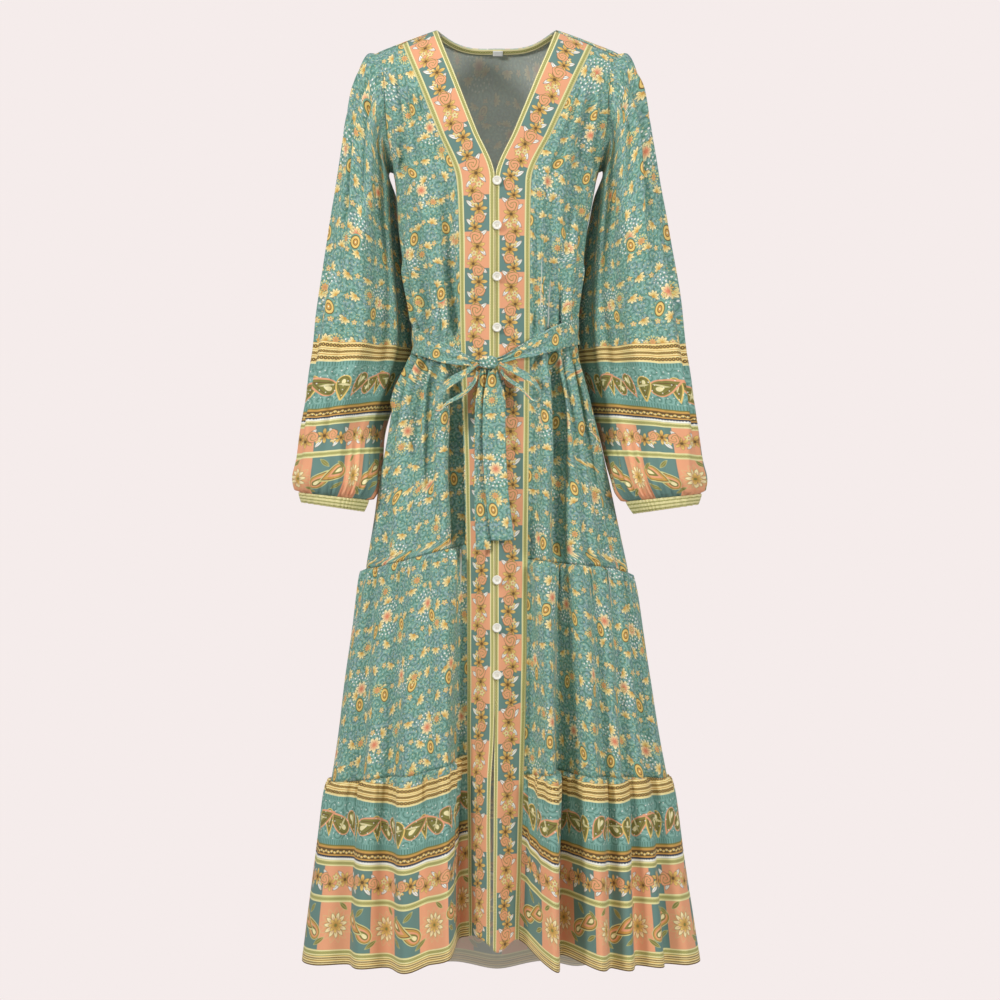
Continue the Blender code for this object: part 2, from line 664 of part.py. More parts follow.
def split_between(values, parts):
    """Puts evenly spaced values between neighbours."""
    count = (len(values) - 1) * parts
    return np.interp(np.arange(count + 1) / parts, range(len(values)), values)


def straighten(row, parts):
    """Lays a seam's added points on the straight lines between the neighbour's own."""
    kept = row[::parts]
    return np.stack([split_between(kept[:, axis], parts) for axis in range(3)], -1)


def build_upper(part, name):
    places, reaches = upper_grid(part)
    points, out = cloth(part, places, reaches)
    wall(name, pull_edges(points, out), out, "cloth")


def build_tier(part, tier, name):
    places, reaches = tier_grid(part, tier)
    points, out = cloth(part, places, reaches)
    points[0], out[0] = straighten(points[0], SPLIT[tier]), straighten(out[0], SPLIT[tier])
    down = (reaches - reaches[0])[..., None]
    left = 1.0 - down / down[-1]
    square = inward(points[0], out[0], points[1])
    twist = turning(out[0], square)
    flat = (unit(out[0])[1:] * unit(out[0])[:-1]).sum(axis=-1)
    flat = np.minimum(np.append(flat, 1.0), np.append(1.0, flat))
    height = np.minimum(GATHER_HEIGHT, GATHER_TWIST / np.maximum(twist, 1e-6))
    height = (height * smooth((flat - GATHER_BEND) / (1 - GATHER_BEND)))[None, :, None]
    waves = np.resize(WAVE[tier], points.shape[1])[None, :, None]
    waves[:, [0, -1]] = 0.0
    gather = height * waves * np.exp(-down / GATHER_RUN) * left
    puff = PUFF_HEIGHT * (1 - np.exp(-down / PUFF_RUN)) * left**2
    if part != "back":
        puff = puff * smooth((1.0 - places)[..., None] / PUFF_EDGE)
    wall(name, pull_edges(points, out) + out * (gather + puff), out, "cloth")


def band_rows(part, across):
    rows = [front_top(part, across), *upper_rows(part, across)]
    for tier, fractions in (("tier_1", TIER_1_ROWS), ("tier_2", TIER_2_ROWS)):
        seams = {"tier_1": ("tier_1", "tier_2"), "tier_2": ("tier_2", "hem")}[tier]
        top, bottom = (seam_reach(part, across, seam) for seam in seams)
        rows += [top + (bottom - top) * f for f in fractions[1:]]
    return rows


def band_grid(part):
    """A band's places: the right one runs on under the left from the neck's point to the slit."""
    even = np.array(BAND_COLUMNS)
    places, reaches = [], []
    for r, row in enumerate(band_rows(part, even)):
        drop = float(row.mean()) - RIDGE_TOP
        under = 0.0
        if part == "right":
            under = float(fade(drop, UNDERLAP_FROM) * smooth((UNDERLAP_TO[0] - drop) / UNDERLAP_TO[1]))
        across = even + UNDERLAP * under * np.array(UNDERLAP_SHARE)
        places.append(across)
        reaches.append(band_rows(part, across)[r])
    return np.array(places), np.array(reaches)


def build_band(part, name):
    places, reaches = band_grid(part)
    points, out = cloth(part, places, reaches)
    side = 1.0 if part == "left" else -1.0
    lift = BAND_LIFT * side * smooth((places - 1.0) / LIFT_PLACES) * fade(-points[..., 2], LIFT_FROM)
    points = pull_edges(points, out, sides=(True, False)) + out * lift[..., None]
    wall(name, points, out, "band")
    return points[:, -1] + out[:, -1] * WALL / 2


# ---- sleeves ----


def armhole_loop(side):
    """The armhole's edge from the shoulder down the front and up the back."""
    loop = []
    for part in (side, "back"):
        places, reaches = upper_grid(part)
        points, out = cloth(part, places, reaches)
        edge, inner = (0, 1) if part == side or side == "left" else (-1, -2)
        count = len(ARMHOLE_ROWS) + (1 if part == side else 3)
        line, facing = points[:count, edge], out[:count, edge]
        away = -inward(line, facing, points[:count, inner])
        away[-1] = away[-2]
        loop.append((line, facing, away))
    (front, front_out, front_away), (back, back_out, back_away) = loop
    points = np.concatenate([front, back[-2:0:-1]])
    out = np.concatenate([front_out, back_out[-2:0:-1]])
    away = np.concatenate([front_away, back_away[-2:0:-1]])
    bottom = len(front) - 1
    away[bottom] = unit(front_away[-2] + back_away[-2])
    return points, out, away, bottom


def ring_split(ring):
    """Adds a point half way along each side of a ring."""
    return np.stack([ring, (ring + np.roll(ring, -1, axis=0)) / 2], 1).reshape(-1, ring.shape[-1])


def head_angles(ring, bottom):
    """Degrees round the sleeve at the armhole's points, even along its front and its back."""
    step = np.linalg.norm(np.roll(ring, -1, axis=0) - ring, axis=1)
    length = np.concatenate([[0.0], np.cumsum(step)])
    marks = (0.0, length[bottom], length[-1])
    return np.interp(length[:-1], marks, (0.0, 180.0, 360.0))


def sleeve_fold(degrees, along):
    """Height of a sleeve's folds by the angle round it and the way down it."""
    degrees = np.mod(degrees, 360.0)
    knots = [row[0] for row in SLEEVE_FOLDS]
    heights = [float(curve(SLEEVE_FOLD_ALONG, [h * MM for h in row[1:]], along)) for row in SLEEVE_FOLDS]
    i = np.clip(np.searchsorted(knots, degrees, side="right") - 1, 0, len(knots) - 2)
    low, high = np.take(knots, i), np.take(knots, i + 1)
    f = smooth((degrees - low) / (high - low))
    return np.take(heights, i) * (1 - f) + np.take(heights, i + 1) * f


def oval(outer, inner, depth, centre_y, inner_y, degrees, height):
    """A ring through an outer and an inner point, (x, drop), with folds raised on it."""
    turn = np.radians(degrees)
    centre, half = (outer + inner) / 2, (outer - inner) / 2
    reach = np.linalg.norm(half)
    cross = np.cos(turn) / reach
    ahead = -np.sin(turn) / depth
    size = np.sqrt(cross**2 + ahead**2)
    lift = height * cross / size / reach
    x = centre[0] + half[0] * (np.cos(turn) + lift)
    drop = centre[1] + half[1] * (np.cos(turn) + lift)
    y = centre_y - depth * np.sin(turn) + inner_y * (1 - np.cos(turn)) / 2 + height * ahead / size
    return np.stack([x, y, -drop], -1)


def sleeve_ring(side, along, degrees):
    table = SLEEVES[side]
    names = [name for name in table if name != "along"]
    at = {name: float(curve(table["along"], metres(table[name]), along)) for name in names}
    outer = np.array([at["outer_x"], at["outer_drop"]])
    inner = np.array([at["inner_x"], at["inner_drop"]])
    height = sleeve_fold(degrees, along)
    return oval(outer, inner, at["depth"], at["centre_y"], at["inner_y"], degrees, height)


def tube_out(grid, side):
    """Directions that face out of a tube's grid of points."""
    around = np.roll(grid, -1, axis=1) - np.roll(grid, 1, axis=1)
    along = np.gradient(grid, axis=0)
    out = unit(np.cross(around, along))
    return out * (-1.0 if side == "left" else 1.0)


def sleeve_grid(side):
    loop, body_out, away, bottom = armhole_loop(side)
    loop, body_out, away = ring_split(loop), unit(ring_split(body_out)), unit(ring_split(away))
    head = head_angles(loop, 2 * bottom)
    rows = []
    for f in SLEEVE_ROWS:
        mix = float(smooth(f / SLEEVE_BLEND))
        degrees = head * (1 - mix) + np.array(SLEEVE_COLUMNS, float) * mix
        rows.append(sleeve_ring(side, 100 * f, degrees) + (1 - mix) * (loop - sleeve_ring(side, 0, head)))
    grid = np.array(rows)
    out = tube_out(grid, side)
    apart = SEAM + WALL / 2 * (1 - (out[0] * body_out).sum(axis=-1, keepdims=True))
    grid[0] = grid[0] + away * apart
    return grid, out


def cuff_ring(side, degrees):
    edge = CUFF_BOTTOM[side]
    outer, inner = metres(edge["outer"]), metres(edge["inner"])
    return oval(outer, inner, edge["depth"] * MM, CUFF_CENTRE_Y, 0.0, degrees, 0.0)


def build_sleeve(side):
    grid, out = sleeve_grid(side)
    degrees = np.array(SLEEVE_COLUMNS, float)
    cuff = np.array([grid[-1], cuff_ring(side, degrees)])
    cuff_out = tube_out(cuff, side)
    shared = unit(out[-1] + cuff_out[0])
    out[-1], cuff_out[0] = shared, shared
    down = inward(grid[-1], shared, cuff[1])
    zigzag = np.resize((1.0, -1.0), len(degrees))[None, :, None]
    wave = np.resize(HEAD_WAVE, len(degrees)) * fade(np.abs(degrees - 180.0), HEAD_PLAIN)
    rows = np.array(SLEEVE_ROWS)[:, None, None]
    ends = smooth(rows / HEAD_GATHER_IN) * smooth((HEAD_GATHER_OUT[0] - rows) / HEAD_GATHER_OUT[1])
    head = HEAD_GATHER * wave[None, :, None] * ends
    tail = CUFF_GATHER * zigzag * fade(rows, (1 - 2 * CUFF_GATHER_RUN, 2 * CUFF_GATHER_RUN))
    body = grid + out * (head + tail)
    body[-1] -= down * SEAM / 2
    wall(f"sleeve_{side}", body, out, "cloth", tube=True)
    rings = cuff + cuff_out * CUFF_GATHER * zigzag
    rings[0] += down * SEAM / 2
    wall(f"cuff_{side}", rings, cuff_out, "trim", tube=True)


# ---- neck, belt and buttons ----


def neck_edge():
    """The back neckline's points with the directions out and down the cloth."""
    places, reaches = upper_grid("back")
    points, out = cloth("back", places, reaches)
    inside = np.abs(points[0, :, 0]) < NECK_HALF - BINDING_WIDTH
    down = inward(points[0], out[0], points[1])
    return points[0][inside], out[0][inside], down[inside]


def neck_strip(edge, out, down, steps, off):
    """Rows down from the neckline on its inner side, following the turn of the cloth."""
    rows = [edge + down * s - out * (off + s * s / (2 * NECK_CURVE)) for s in steps]
    return np.array(rows)


def build_neck():
    edge, out, down = neck_edge()
    steps = (SEAM, BINDING_WIDTH)
    rows = neck_strip(edge, out, down, steps, BINDING_OFF)
    wall("neck_binding", rows, np.array([out] * len(steps)), "trim", thick=BINDING_WALL)
    across = np.linspace(*LABEL["across"], LABEL_COLUMNS)
    lines = []
    for values in (edge, out, down):
        lines.append(np.stack([np.interp(across, edge[:, 0], values[:, i]) for i in range(3)], -1))
    edge, out, down = lines[0], unit(lines[1]), unit(lines[2])
    steps = LABEL["below"]
    rows = neck_strip(edge, out, down, steps, LABEL_OFF)
    wall("neck_label", rows, np.array([out] * len(steps)), "label", thick=LABEL_WALL)


def belt_line(turn):
    """Middle, width and stand-off of the belt at an angle round the waist from the front."""
    ahead = np.cos(turn)
    x = BELT_HALF * np.sin(turn)
    front = smooth((ahead + BELT_FRONT[0]) / BELT_FRONT[1])
    drop = column(BELT, "drop", x, "across") * front + BELT_BACK_DROP * (1 - front)
    width = column(BELT, "width", x, "across") * front + BELT_BACK_WIDTH * (1 - front)
    far = np.where(ahead > 0, BELT_OFF["front"], BELT_OFF["back"])
    off = BELT_OFF["side"] + (far - BELT_OFF["side"]) * smooth(np.abs(ahead) / BELT_AHEAD)
    return drop, width, off


def build_belt():
    turn = np.linspace(-math.pi, math.pi, BELT_COLUMNS + 1)[:-1]
    middle, width, off = belt_line(turn)
    rows = []
    for share in (-0.5, 0.5):
        drop = middle + share * width
        wide = np.where(turn < 0, column(BODY, "left", drop), column(BODY, "right", drop))
        deep = np.where(np.cos(turn) > 0, column(BODY, "front", drop), column(BODY, "back", drop))
        x = (wide + off) * np.sin(turn)
        rows.append(np.stack([x, -(deep + off) * np.cos(turn), -drop], -1))
    rows = np.array(rows)
    around = np.roll(rows, -1, axis=1) - np.roll(rows, 1, axis=1)
    out = unit(np.cross(np.gradient(rows, axis=0), around))
    out *= np.sign((out * (rows - rows.mean(axis=(0, 1)))).sum())
    wall("belt_wrap", rows, out, "cloth", thick=BELT_WALL, tube=True)


def build_knot():
    bpy.ops.mesh.primitive_cube_add(size=1.0)
    knot = bpy.context.object
    knot.name = "belt_knot"
    knot.data.transform(Matrix.Diagonal((*KNOT_SIZE, 1.0)))
    knot.location = KNOT_CENTRE
    bevel = knot.modifiers.new("round", "BEVEL")
    bevel.width = KNOT_ROUND
    bevel.segments = 3
    finish_round(knot, "cloth")


def finish_round(obj, colour):
    obj.data.materials.append(material(colour))
    for polygon in obj.data.polygons:
        polygon.use_smooth = True
    for collection in list(obj.users_collection):
        collection.objects.unlink(obj)
    bpy.data.collections[NAME].objects.link(obj)


def build_loop(side):
    table = LOOPS[side]
    x, z, share = metres(table["x"]), metres(table["z"]), np.array(table["share"])
    bulge = np.sin(np.linspace(0, math.pi, len(x)))
    rim = np.stack([x, LOOP_Y[0] + LOOP_Y[1] * bulge, z], -1)
    span = np.outer(share, (table["lean"] * MM, LOOP_WIDTH[0], LOOP_WIDTH[1]))
    grid = np.stack([rim, rim + span], 1)
    out = unit(np.cross(np.gradient(rim, axis=0), span))
    out *= np.sign(out[1, 2])
    wall(f"belt_loop_{side}", grid, np.repeat(out[:, None], 2, axis=1), "cloth", thick=BELT_WALL)


def build_tail(name):
    table = TAILS[name]
    drop = np.linspace(table["drop"][0], table["drop"][-1], TAIL_ROWS) * MM
    deep = column(BODY, "front", drop)
    edges = []
    for side in ("left", "right"):
        x = column(table, side + "_x", drop)
        edges.append(np.stack([x, -deep - column(table, side + "_off", drop), -drop], -1))
    left, right = edges
    grid = np.stack([left, right], 1)
    out = unit(np.cross(right - left, np.gradient(left, axis=0)))
    out *= -np.sign(out[0, 1])
    wall(f"belt_tail_{name}", grid, np.repeat(out[:, None], 2, axis=1), "cloth", thick=BELT_WALL)


def build_button(number, drop, edge):
    """A button laid on the left band's edge, tilted as the band is there."""
    order = np.argsort(edge[:, 2])
    heights, faces = edge[order, 2], edge[order, 1]
    ends = np.array([-drop - BUTTON_RADIUS, -drop + BUTTON_RADIUS])
    low, high = np.interp(ends, heights, faces)
    slope = (high - low) / (2 * BUTTON_RADIUS)
    under = np.linspace(*ends, BUTTON_SAMPLES)
    ahead = (np.interp(under, heights, faces) - slope * (under + drop)).min()
    facing = unit(np.array([0.0, -1.0, slope]))
    spot = np.array([BUTTON_X, ahead, -drop]) + facing * (BUTTON_CLEAR + BUTTON_THICK / 2)
    tilt = math.atan2(-facing[1], facing[2])
    bpy.ops.mesh.primitive_cylinder_add(
        vertices=BUTTON_SIDES, radius=BUTTON_RADIUS, depth=BUTTON_THICK, location=spot, rotation=(tilt, 0, 0))
    bpy.context.object.name = f"button_{number:02d}"
    finish_round(bpy.context.object, "button")


def main():
    for obj in list(bpy.data.objects):
        bpy.data.objects.remove(obj)
    bpy.context.scene.collection.children.link(bpy.data.collections.new(NAME))
    edge = build_band("left", "band_left")
    build_band("right", "band_right")
    for part in ("left", "right"):
        build_upper(part, f"front_{part}_upper")
        for tier in ("tier_1", "tier_2"):
            build_tier(part, tier, f"{tier}_front_{part}")
        build_sleeve(part)
        build_loop(part)
    build_upper("back", "back_upper")
    for tier in ("tier_1", "tier_2"):
        build_tier("back", tier, f"{tier}_back")
    build_neck()
    build_belt()
    build_knot()
    build_tail("front")
    build_tail("back")
    for number, drop in enumerate(BUTTON_DROPS, start=1):
        build_button(number, drop * MM, edge)


main()
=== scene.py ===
import math

import bmesh
import bpy
import numpy as np
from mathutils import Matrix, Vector


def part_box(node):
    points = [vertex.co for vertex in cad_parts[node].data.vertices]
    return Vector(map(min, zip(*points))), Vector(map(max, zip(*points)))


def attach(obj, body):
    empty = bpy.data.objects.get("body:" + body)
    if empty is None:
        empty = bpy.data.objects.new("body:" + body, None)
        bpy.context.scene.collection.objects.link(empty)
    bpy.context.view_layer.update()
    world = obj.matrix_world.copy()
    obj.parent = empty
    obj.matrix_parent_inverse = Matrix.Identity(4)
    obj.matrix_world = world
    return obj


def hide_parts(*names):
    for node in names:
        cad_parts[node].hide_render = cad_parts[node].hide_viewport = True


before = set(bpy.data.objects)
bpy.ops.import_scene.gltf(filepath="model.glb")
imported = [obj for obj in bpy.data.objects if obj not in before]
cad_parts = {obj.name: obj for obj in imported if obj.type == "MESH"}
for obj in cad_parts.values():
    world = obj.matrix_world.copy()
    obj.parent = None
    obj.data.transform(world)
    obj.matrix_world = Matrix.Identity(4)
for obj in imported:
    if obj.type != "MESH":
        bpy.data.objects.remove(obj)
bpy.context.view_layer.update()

MM = 0.001

# The dress hangs as if filled out. Every panel is a thin shell through one master surface, which
# repeats the CAD part's named sizes. Tables are in millimetres, drops are below the shoulders.

# Seams, and what lies on the cloth.
SEAM = 0.0003
BAND_LIFT = 0.00115
UNDERLAP = 0.19
BINDING_WIDTH = 0.008
BINDING_OFF = 0.00230
NECK_CURVE = 0.030

# Shoulders: the ridge line falls from the neck to the tips, and the cloth turns over it.
RIDGE_TOP = 0.0454
RIDGE_SLOPE = 0.406
RIDGE_ROUND = 0.060
ARCH = 0.100
SHOULDER_SEAM = {"left": 0.014, "right": 0.024}
UNDERARM = 0.1826
# How square the back neckline is: 2 is an oval.
NECK_SQUARE = 2.6
NECK_HALF = 0.0865
BACK_NECK = 0.0505

# The tiers puff out under their seams: how far, and over what run.
PUFF_HEIGHT = 0.004
PUFF_RUN = 0.014

BODY = {
    # mm: drop below the shoulder point, half widths, depths in front and behind
    "drop": (-60, 0, 36, 72, 108, 144, 165, 178, 216, 259, 317, 403, 440, 492, 562, 634, 677,
             742, 816, 900, 994, 1044, 1079, 1163, 1253, 1310, 1400),
    "left": (200, 197, 186, 181, 175, 163, 153, 149, 144, 141, 133, 119, 120, 143, 157, 170, 176,
             187, 200, 215, 228, 236, 243, 258, 272, 279, 284),
    "right": (202, 199, 188, 180, 174, 160, 151, 146, 138, 130, 123, 114, 117, 131, 147, 163, 172,
              186, 201, 217, 233, 243, 251, 266, 282, 291, 296),
    "front": (70, 78, 84, 88, 90, 91, 91, 91, 90, 88, 84, 76, 76, 80, 87, 94, 98,
              102, 107, 112, 117, 120, 122, 126, 129, 131, 132),
    "back": (82, 92, 98, 102, 105, 106, 106, 106, 104, 102, 98, 90, 90, 96, 106, 114, 119,
             125, 131, 139, 147, 152, 154, 160, 166, 169, 171),
}
ARMHOLE = {
    # mm along the cloth from the ridge, and the seam's angle round the body in degrees
    "reach": (0, 55, 82, 109, 147, 169, 182.6),
    "angle": (62, 61, 62, 64.5, 70, 78, 90),
}
BANDS = {
    # mm: where each front band begins and ends, from the neck to the hem
    "drop": (-26, 0, 60, 130, 195, 215, 260, 420, 520, 740, 900, 980, 1040, 1160, 1310),
    "left_outer": (-142, -134, -111, -84, -58.5, -56.5, -55, -54.5, -50, -45, -44, -44, -43.5, -42, -40),
    "left_inner": (-86, -77.7, -55.4, -28.4, -2.9, -3.4, -3.4, -3.4, -3.4, -3.4, -3.4, -4.5, -7.9, -8.5, -9),
    "right_inner": (84.5, 76.1, 52.7, 24.3, -2.5, -3.4, -3.4, -3.4, -3.4, -3.4, -3.4, -3.6, -4.0, -4.6, -5.2),
    "right_outer": (147, 137, 110.6, 79, 49.5, 48.5, 48, 48, 47, 44.5, 42.5, 40.5, 38.7, 35, 30),
}
SEAMS = {
    # mm: where each seam line lies across the front
    "tier_1": {
        "across": (-196, -145, -101, -75, -46, 42, 75, 115, 156, 196),
        "drop": (750, 737, 725, 718, 711, 730, 735, 739, 744, 757),
    },
    "tier_2": {
        "across": (-242, -191, -151, -104, -76, -45, 43, 83, 108, 145, 205, 248),
        "drop": (1051, 1043, 1035, 1027, 1016, 1004, 1031, 1024, 1029, 1034, 1039, 1046),
    },
    "hem": {
        "across": (-279, -200, -150, -118, -100, -72, -56, -41, -8, -5, 30, 43, 60, 72, 90, 103, 140,
                   164, 200, 240, 290),
        "drop": (1306, 1300, 1300, 1298, 1292, 1278, 1264, 1255, 1262, 1266, 1259, 1268, 1286, 1294,
                 1291, 1288, 1296, 1301, 1300, 1302, 1306),
    },
}
BACK_HEM_DIP = 0.050
# Drops between which each tier's columns follow the folds, and where they are evenly spaced.
TIER_LEVELS = {"tier_1": (0.74, 1.03), "tier_2": (1.03, 1.29)}
COLUMN_DROP = 0.98
SETTLE_ROUNDS = 8

# A start and a run in metres: where the folds lean, and where the columns begin to follow them.
LEAN_FROM = (0.45, 0.85)
FOLLOW_FROM = (0.05, 0.16)

FOLD_PLACE_DROPS = (200, 420, 740, 1300)
FOLD_HEIGHT_DROPS = (70, 200, 420, 740, 1040, 1300)
FOLD_COLUMNS = ("chest_at", "waist_at", "tier_at", "hem_at", "top", "chest", "waist", "tier_1",
                "tier_2", "hem", "lean")
# One row a ridge or a valley: where it runs, in hundredths of the way from the side seam to the
# band (for the back, to the other side seam), how far it stands out or sinks in at each level, and
# how far it leans to the centre, in mm.
FOLDS = {
    "left": (
        (0, 0, 0, 0, 0, 0, 0, 0, 0, 0, 0),
        (18, 16, 22, 32, 0, 1, 2, 4, 8, 11, 0),
        (34, 31, 36, 48, 0, -4, -4, -3, -8, -12, 0),
        (44, 44, 47, 58, 0, 2, 4, 3, 7, 11, 0),
        (53, 56, 58, 68, 0, 4, -5, -3, -9, -13, 0),
        (63, 66, 69, 78, 0, 5, 4, 5, 14, 22, 3),
        (72, 76, 79, 86, 0, 2, -3, 2, 6, 8, 0),
        (80, 84, 88, 92, 0, -5, 5, 8, 20, 26, 9),
        (90, 93, 96, 97, 0, -8, -14, -24, -32, -42, -4),
        (100, 100, 100, 100, 0, -4, -10, -20, -24, -27, 0),
        (200, 200, 200, 200, 0, 1, 2, 5, 9, 12, 0),
    ),
    "right": (
        (0, 0, 0, 0, 0, 0, 0, 0, 0, 0, 0),
        (14, 10, 18, 30, 0, 0, 1, 3, 8, 11, 0),
        (24, 22, 28, 39, 0, 0, -3, -3, -8, -12, 0),
        (34, 34, 38, 47, 0, 0, 3, 4, 8, 12, 0),
        (43, 42, 46, 55, 0, -1, -4, -3, -9, -14, 0),
        (52, 50, 53, 61, 0, 2, 4, 3, 8, 12, 0),
        (60, 57, 60, 66, 0, 1, -3, -3, -8, -14, 0),
        (68, 64, 68, 73, 0, 3, 4, 7, 16, 24, 0),
        (78, 74, 80, 82, 0, -3, -12, -20, -40, -55, 5),
        (87, 87, 92, 91, 0, 2, 6, 14, 26, 32, -8),
        (94, 95, 97, 97, 0, -2, -6, -14, -22, -28, 0),
        (100, 100, 100, 100, 0, -3, -6, -12, -18, -25, 0),
        (200, 200, 200, 200, 0, 1, 2, 5, 9, 12, 0),
        (219, 219, 219, 219, 0, 0.4, 0.7, 2.2, 5.3, 7.7, 0),
    ),
    "back": (
        (0, 0, 0, 0, 0, 0, 0, 0, 0, 0, 0),
        (11, 10, 11, 11, 0, 1, 2, 5, 9, 12, 0),
        (19, 18, 19, 18, 0, -2, -4, -6, -12, -18, 0),
        (27, 28, 27, 27, 0, 1, 4, 8, 15, 22, 2),
        (35, 37, 35, 35, 0, -2, -4, -10, -20, -30, 0),
        (43, 44, 42, 43, 0, 1, 3, 8, 14, 20, 0),
        (50, 50, 50, 50, 0, -1, -4, -7, -14, -22, 0),
        (57, 56, 58, 57, 0, 1, 3, 9, 17, 24, 0),
        (65, 63, 65, 65, 0, -2, -4, -10, -22, -32, 0),
        (73, 72, 73, 73, 0, 1, 4, 8, 14, 20, -2),
        (81, 82, 81, 82, 0, -2, -4, -6, -12, -18, 0),
        (89, 90, 89, 89, 0, 1, 2, 5, 9, 12, 0),
        (100, 100, 100, 100, 0, 0, 0, 0, 0, 0, 0),
    ),
}

# Ways along the cloth from the ridge to the underarm, where the sleeve's columns meet the armhole.
ARMHOLE_ROWS = (0.042, 0.068, 0.095, 0.124, 0.149, 0.168, UNDERARM)
BACK_ROWS = (0.040, 0.050)
BAND_COLUMNS = (1.0, 1.27, 1.54, 1.77, 2.0)
# The underlap's share at each column of a band, and a start and a run, in metres of drop, for
# where it comes and goes and for where the bands lift off each other.
UNDERLAP_SHARE = (0.0, 0.3, 0.6, 1.0, 1.0)
UNDERLAP_FROM = (0.19, 0.02)
UNDERLAP_TO = (0.95, 0.03)
LIFT_FROM = (0.09, 0.08)
LIFT_PLACES = 0.5

SLEEVES = {
    # mm: the outer and the inner edge from the shoulder to the cuff, half the depth, the middle
    # of the depth and how far the inner edge lies behind it
    "left": {
        "along": (0, 6, 12, 20, 30, 42, 55, 66, 78, 88, 95, 100),
        "outer_x": (-173.5, -187, -199, -209, -219.5, -235, -249.5, -262, -272, -280, -283, -281),
        "outer_drop": (4, 14, 40, 84, 150, 250, 350, 430, 504, 562, 618, 637),
        "inner_x": (-149, -155, -156, -147, -142.5, -134, -124, -122, -140, -162.5, -170, -184),
        "inner_drop": (176, 174, 184, 207, 245, 305, 374, 432, 482, 550, 612, 648),
        "depth": (48, 53, 54, 55, 55, 56, 57, 58, 58, 57, 51, 40),
        "centre_y": (6, 6, 6, 4, 0, -8, -18, -25, -30, -32, -32, -31),
        "inner_y": (0, 6, 12, 24, 38, 52, 62, 68, 70, 58, 24, 0),
    },
    "right": {
        "along": (0, 6, 12, 20, 30, 42, 55, 66, 78, 88, 95, 100),
        "outer_x": (175.5, 189, 200, 210, 222, 239, 256, 269, 280, 287, 291, 290),
        "outer_drop": (6, 14, 38, 80, 144, 245, 345, 430, 504, 562, 616, 639),
        "inner_x": (146, 152, 152, 142, 134, 123.5, 117, 118.5, 131, 147.5, 165, 185),
        "inner_drop": (176, 173, 184, 207, 245, 305, 374, 432, 482, 550, 612, 650),
        "depth": (48, 53, 54, 55, 55, 56, 57, 58, 58, 57, 51, 40),
        "centre_y": (6, 6, 6, 4, 0, -8, -18, -25, -30, -32, -32, -31),
        "inner_y": (0, 6, 12, 24, 38, 52, 62, 68, 70, 58, 24, 0),
    },
}
SLEEVE_BLEND = 0.20
# Degrees round the sleeve at its columns, over the front to the underarm and back over the back.
SLEEVE_COLUMNS = (0, 22, 42, 60, 78, 92, 106, 115, 124, 134, 144, 154, 165, 173,
                  180, 189, 199, 209, 219, 230, 240, 249, 258, 266, 275, 284, 294, 305, 317, 329,
                  340, 350)
SLEEVE_FOLD_ALONG = (0, 12, 30, 60, 85, 100)
# One row a ridge or a valley: its angle round the sleeve from the outer edge over the front, and
# how far it stands out at each level, in mm.
SLEEVE_FOLDS = (
    (0, 0, 0, 0, 0, 0, 0),
    (45, 0, 1, 2, 2, 2, 0),
    (92, 0, 5, 9, 8, 4, 0),
    (106, 0, -4, -9, -9, -4, 0),
    (124, 0, 3, 5, 6, 3, 0),
    (144, 0, -3, -8, -8, -4, 0),
    (165, 0, -1, -3, -3, -1, 0),
    (180, 0, 0, 0, 0, 0, 0),
    (215, 0, 0, -3, -4, -2, 0),
    (240, 0, 2, 5, 6, 3, 0),
    (262, 0, -3, -7, -7, -4, 0),
    (286, 0, 4, 6, 6, 3, 0),
    (320, 0, -1, -3, -3, -2, 0),
    (360, 0, 0, 0, 0, 0, 0),
)
CUFF_BOTTOM = {
    # mm: the outer and the inner point of the cuff's lower edge, and half its depth
    "left": {"outer": (-277, 651), "inner": (-191, 664), "depth": 38},
    "right": {"outer": (285, 654), "inner": (196, 667), "depth": 38},
}
CUFF_CENTRE_Y = -0.031

BELT = {
    # mm across the front: the middle's drop and the width
    "across": (-122, -101, -66, -42, -27, 5, 30, 50, 76, 100, 117),
    "drop": (418, 426, 442, 451, 456, 452, 441, 433, 421, 412, 406),
    "width": (39, 35, 27, 17, 9, 9, 18, 27, 34, 37, 38),
}
BELT_BACK_DROP = 0.410
BELT_BACK_WIDTH = 0.039
BELT_ROWS = 15
BELT_HALF = 0.119
# Cosines of the angle round the waist: where the front's table gives way to the back's level,
# over how much, and where the belt stands fully off the front and the back.
BELT_FRONT = (0.05, 0.15)
BELT_AHEAD = 0.6
BELT_OFF = {"side": 0.0032, "front": 0.0100, "back": 0.0085}
KNOT_CENTRE = (-0.0115, -0.0954, -0.4560)
KNOT_SIZE = (0.0270, 0.0150, 0.0190)
LOOPS = {
    # mm: the front rim of each loop of the bow, out from the knot and back to it, and the share
    # of its width that shows at each point
    "left": {
        "x": (-25.7, -45, -62, -76, -84, -87, -84, -77, -68, -46, -31, -27.5),
        "z": (-460.5, -478, -490, -501, -510, -519, -525, -524, -515, -503, -486, -471),
        "share": (0.3, 0.7, 0.9, 0.7, 0.45, 0.28, 0.2, 0.2, 0.3, 0.42, 0.4, 0.3),
        "lean": -4,
    },
    "right": {
        "x": (2.7, 20, 35, 48, 57, 60, 57, 50, 41, 31, 13, 5.5),
        "z": (-460.5, -471, -479, -487, -496, -504, -511, -511, -504, -493, -480, -469),
        "share": (0.3, 0.6, 0.75, 0.65, 0.4, 0.26, 0.2, 0.2, 0.28, 0.35, 0.3, 0.25),
        "lean": 4,
    },
}
LOOP_WIDTH = (0.020, 0.015)
LOOP_Y = (-0.1010, -0.0110)
STRIP_ROWS = 90
TAIL_COLUMNS = 17
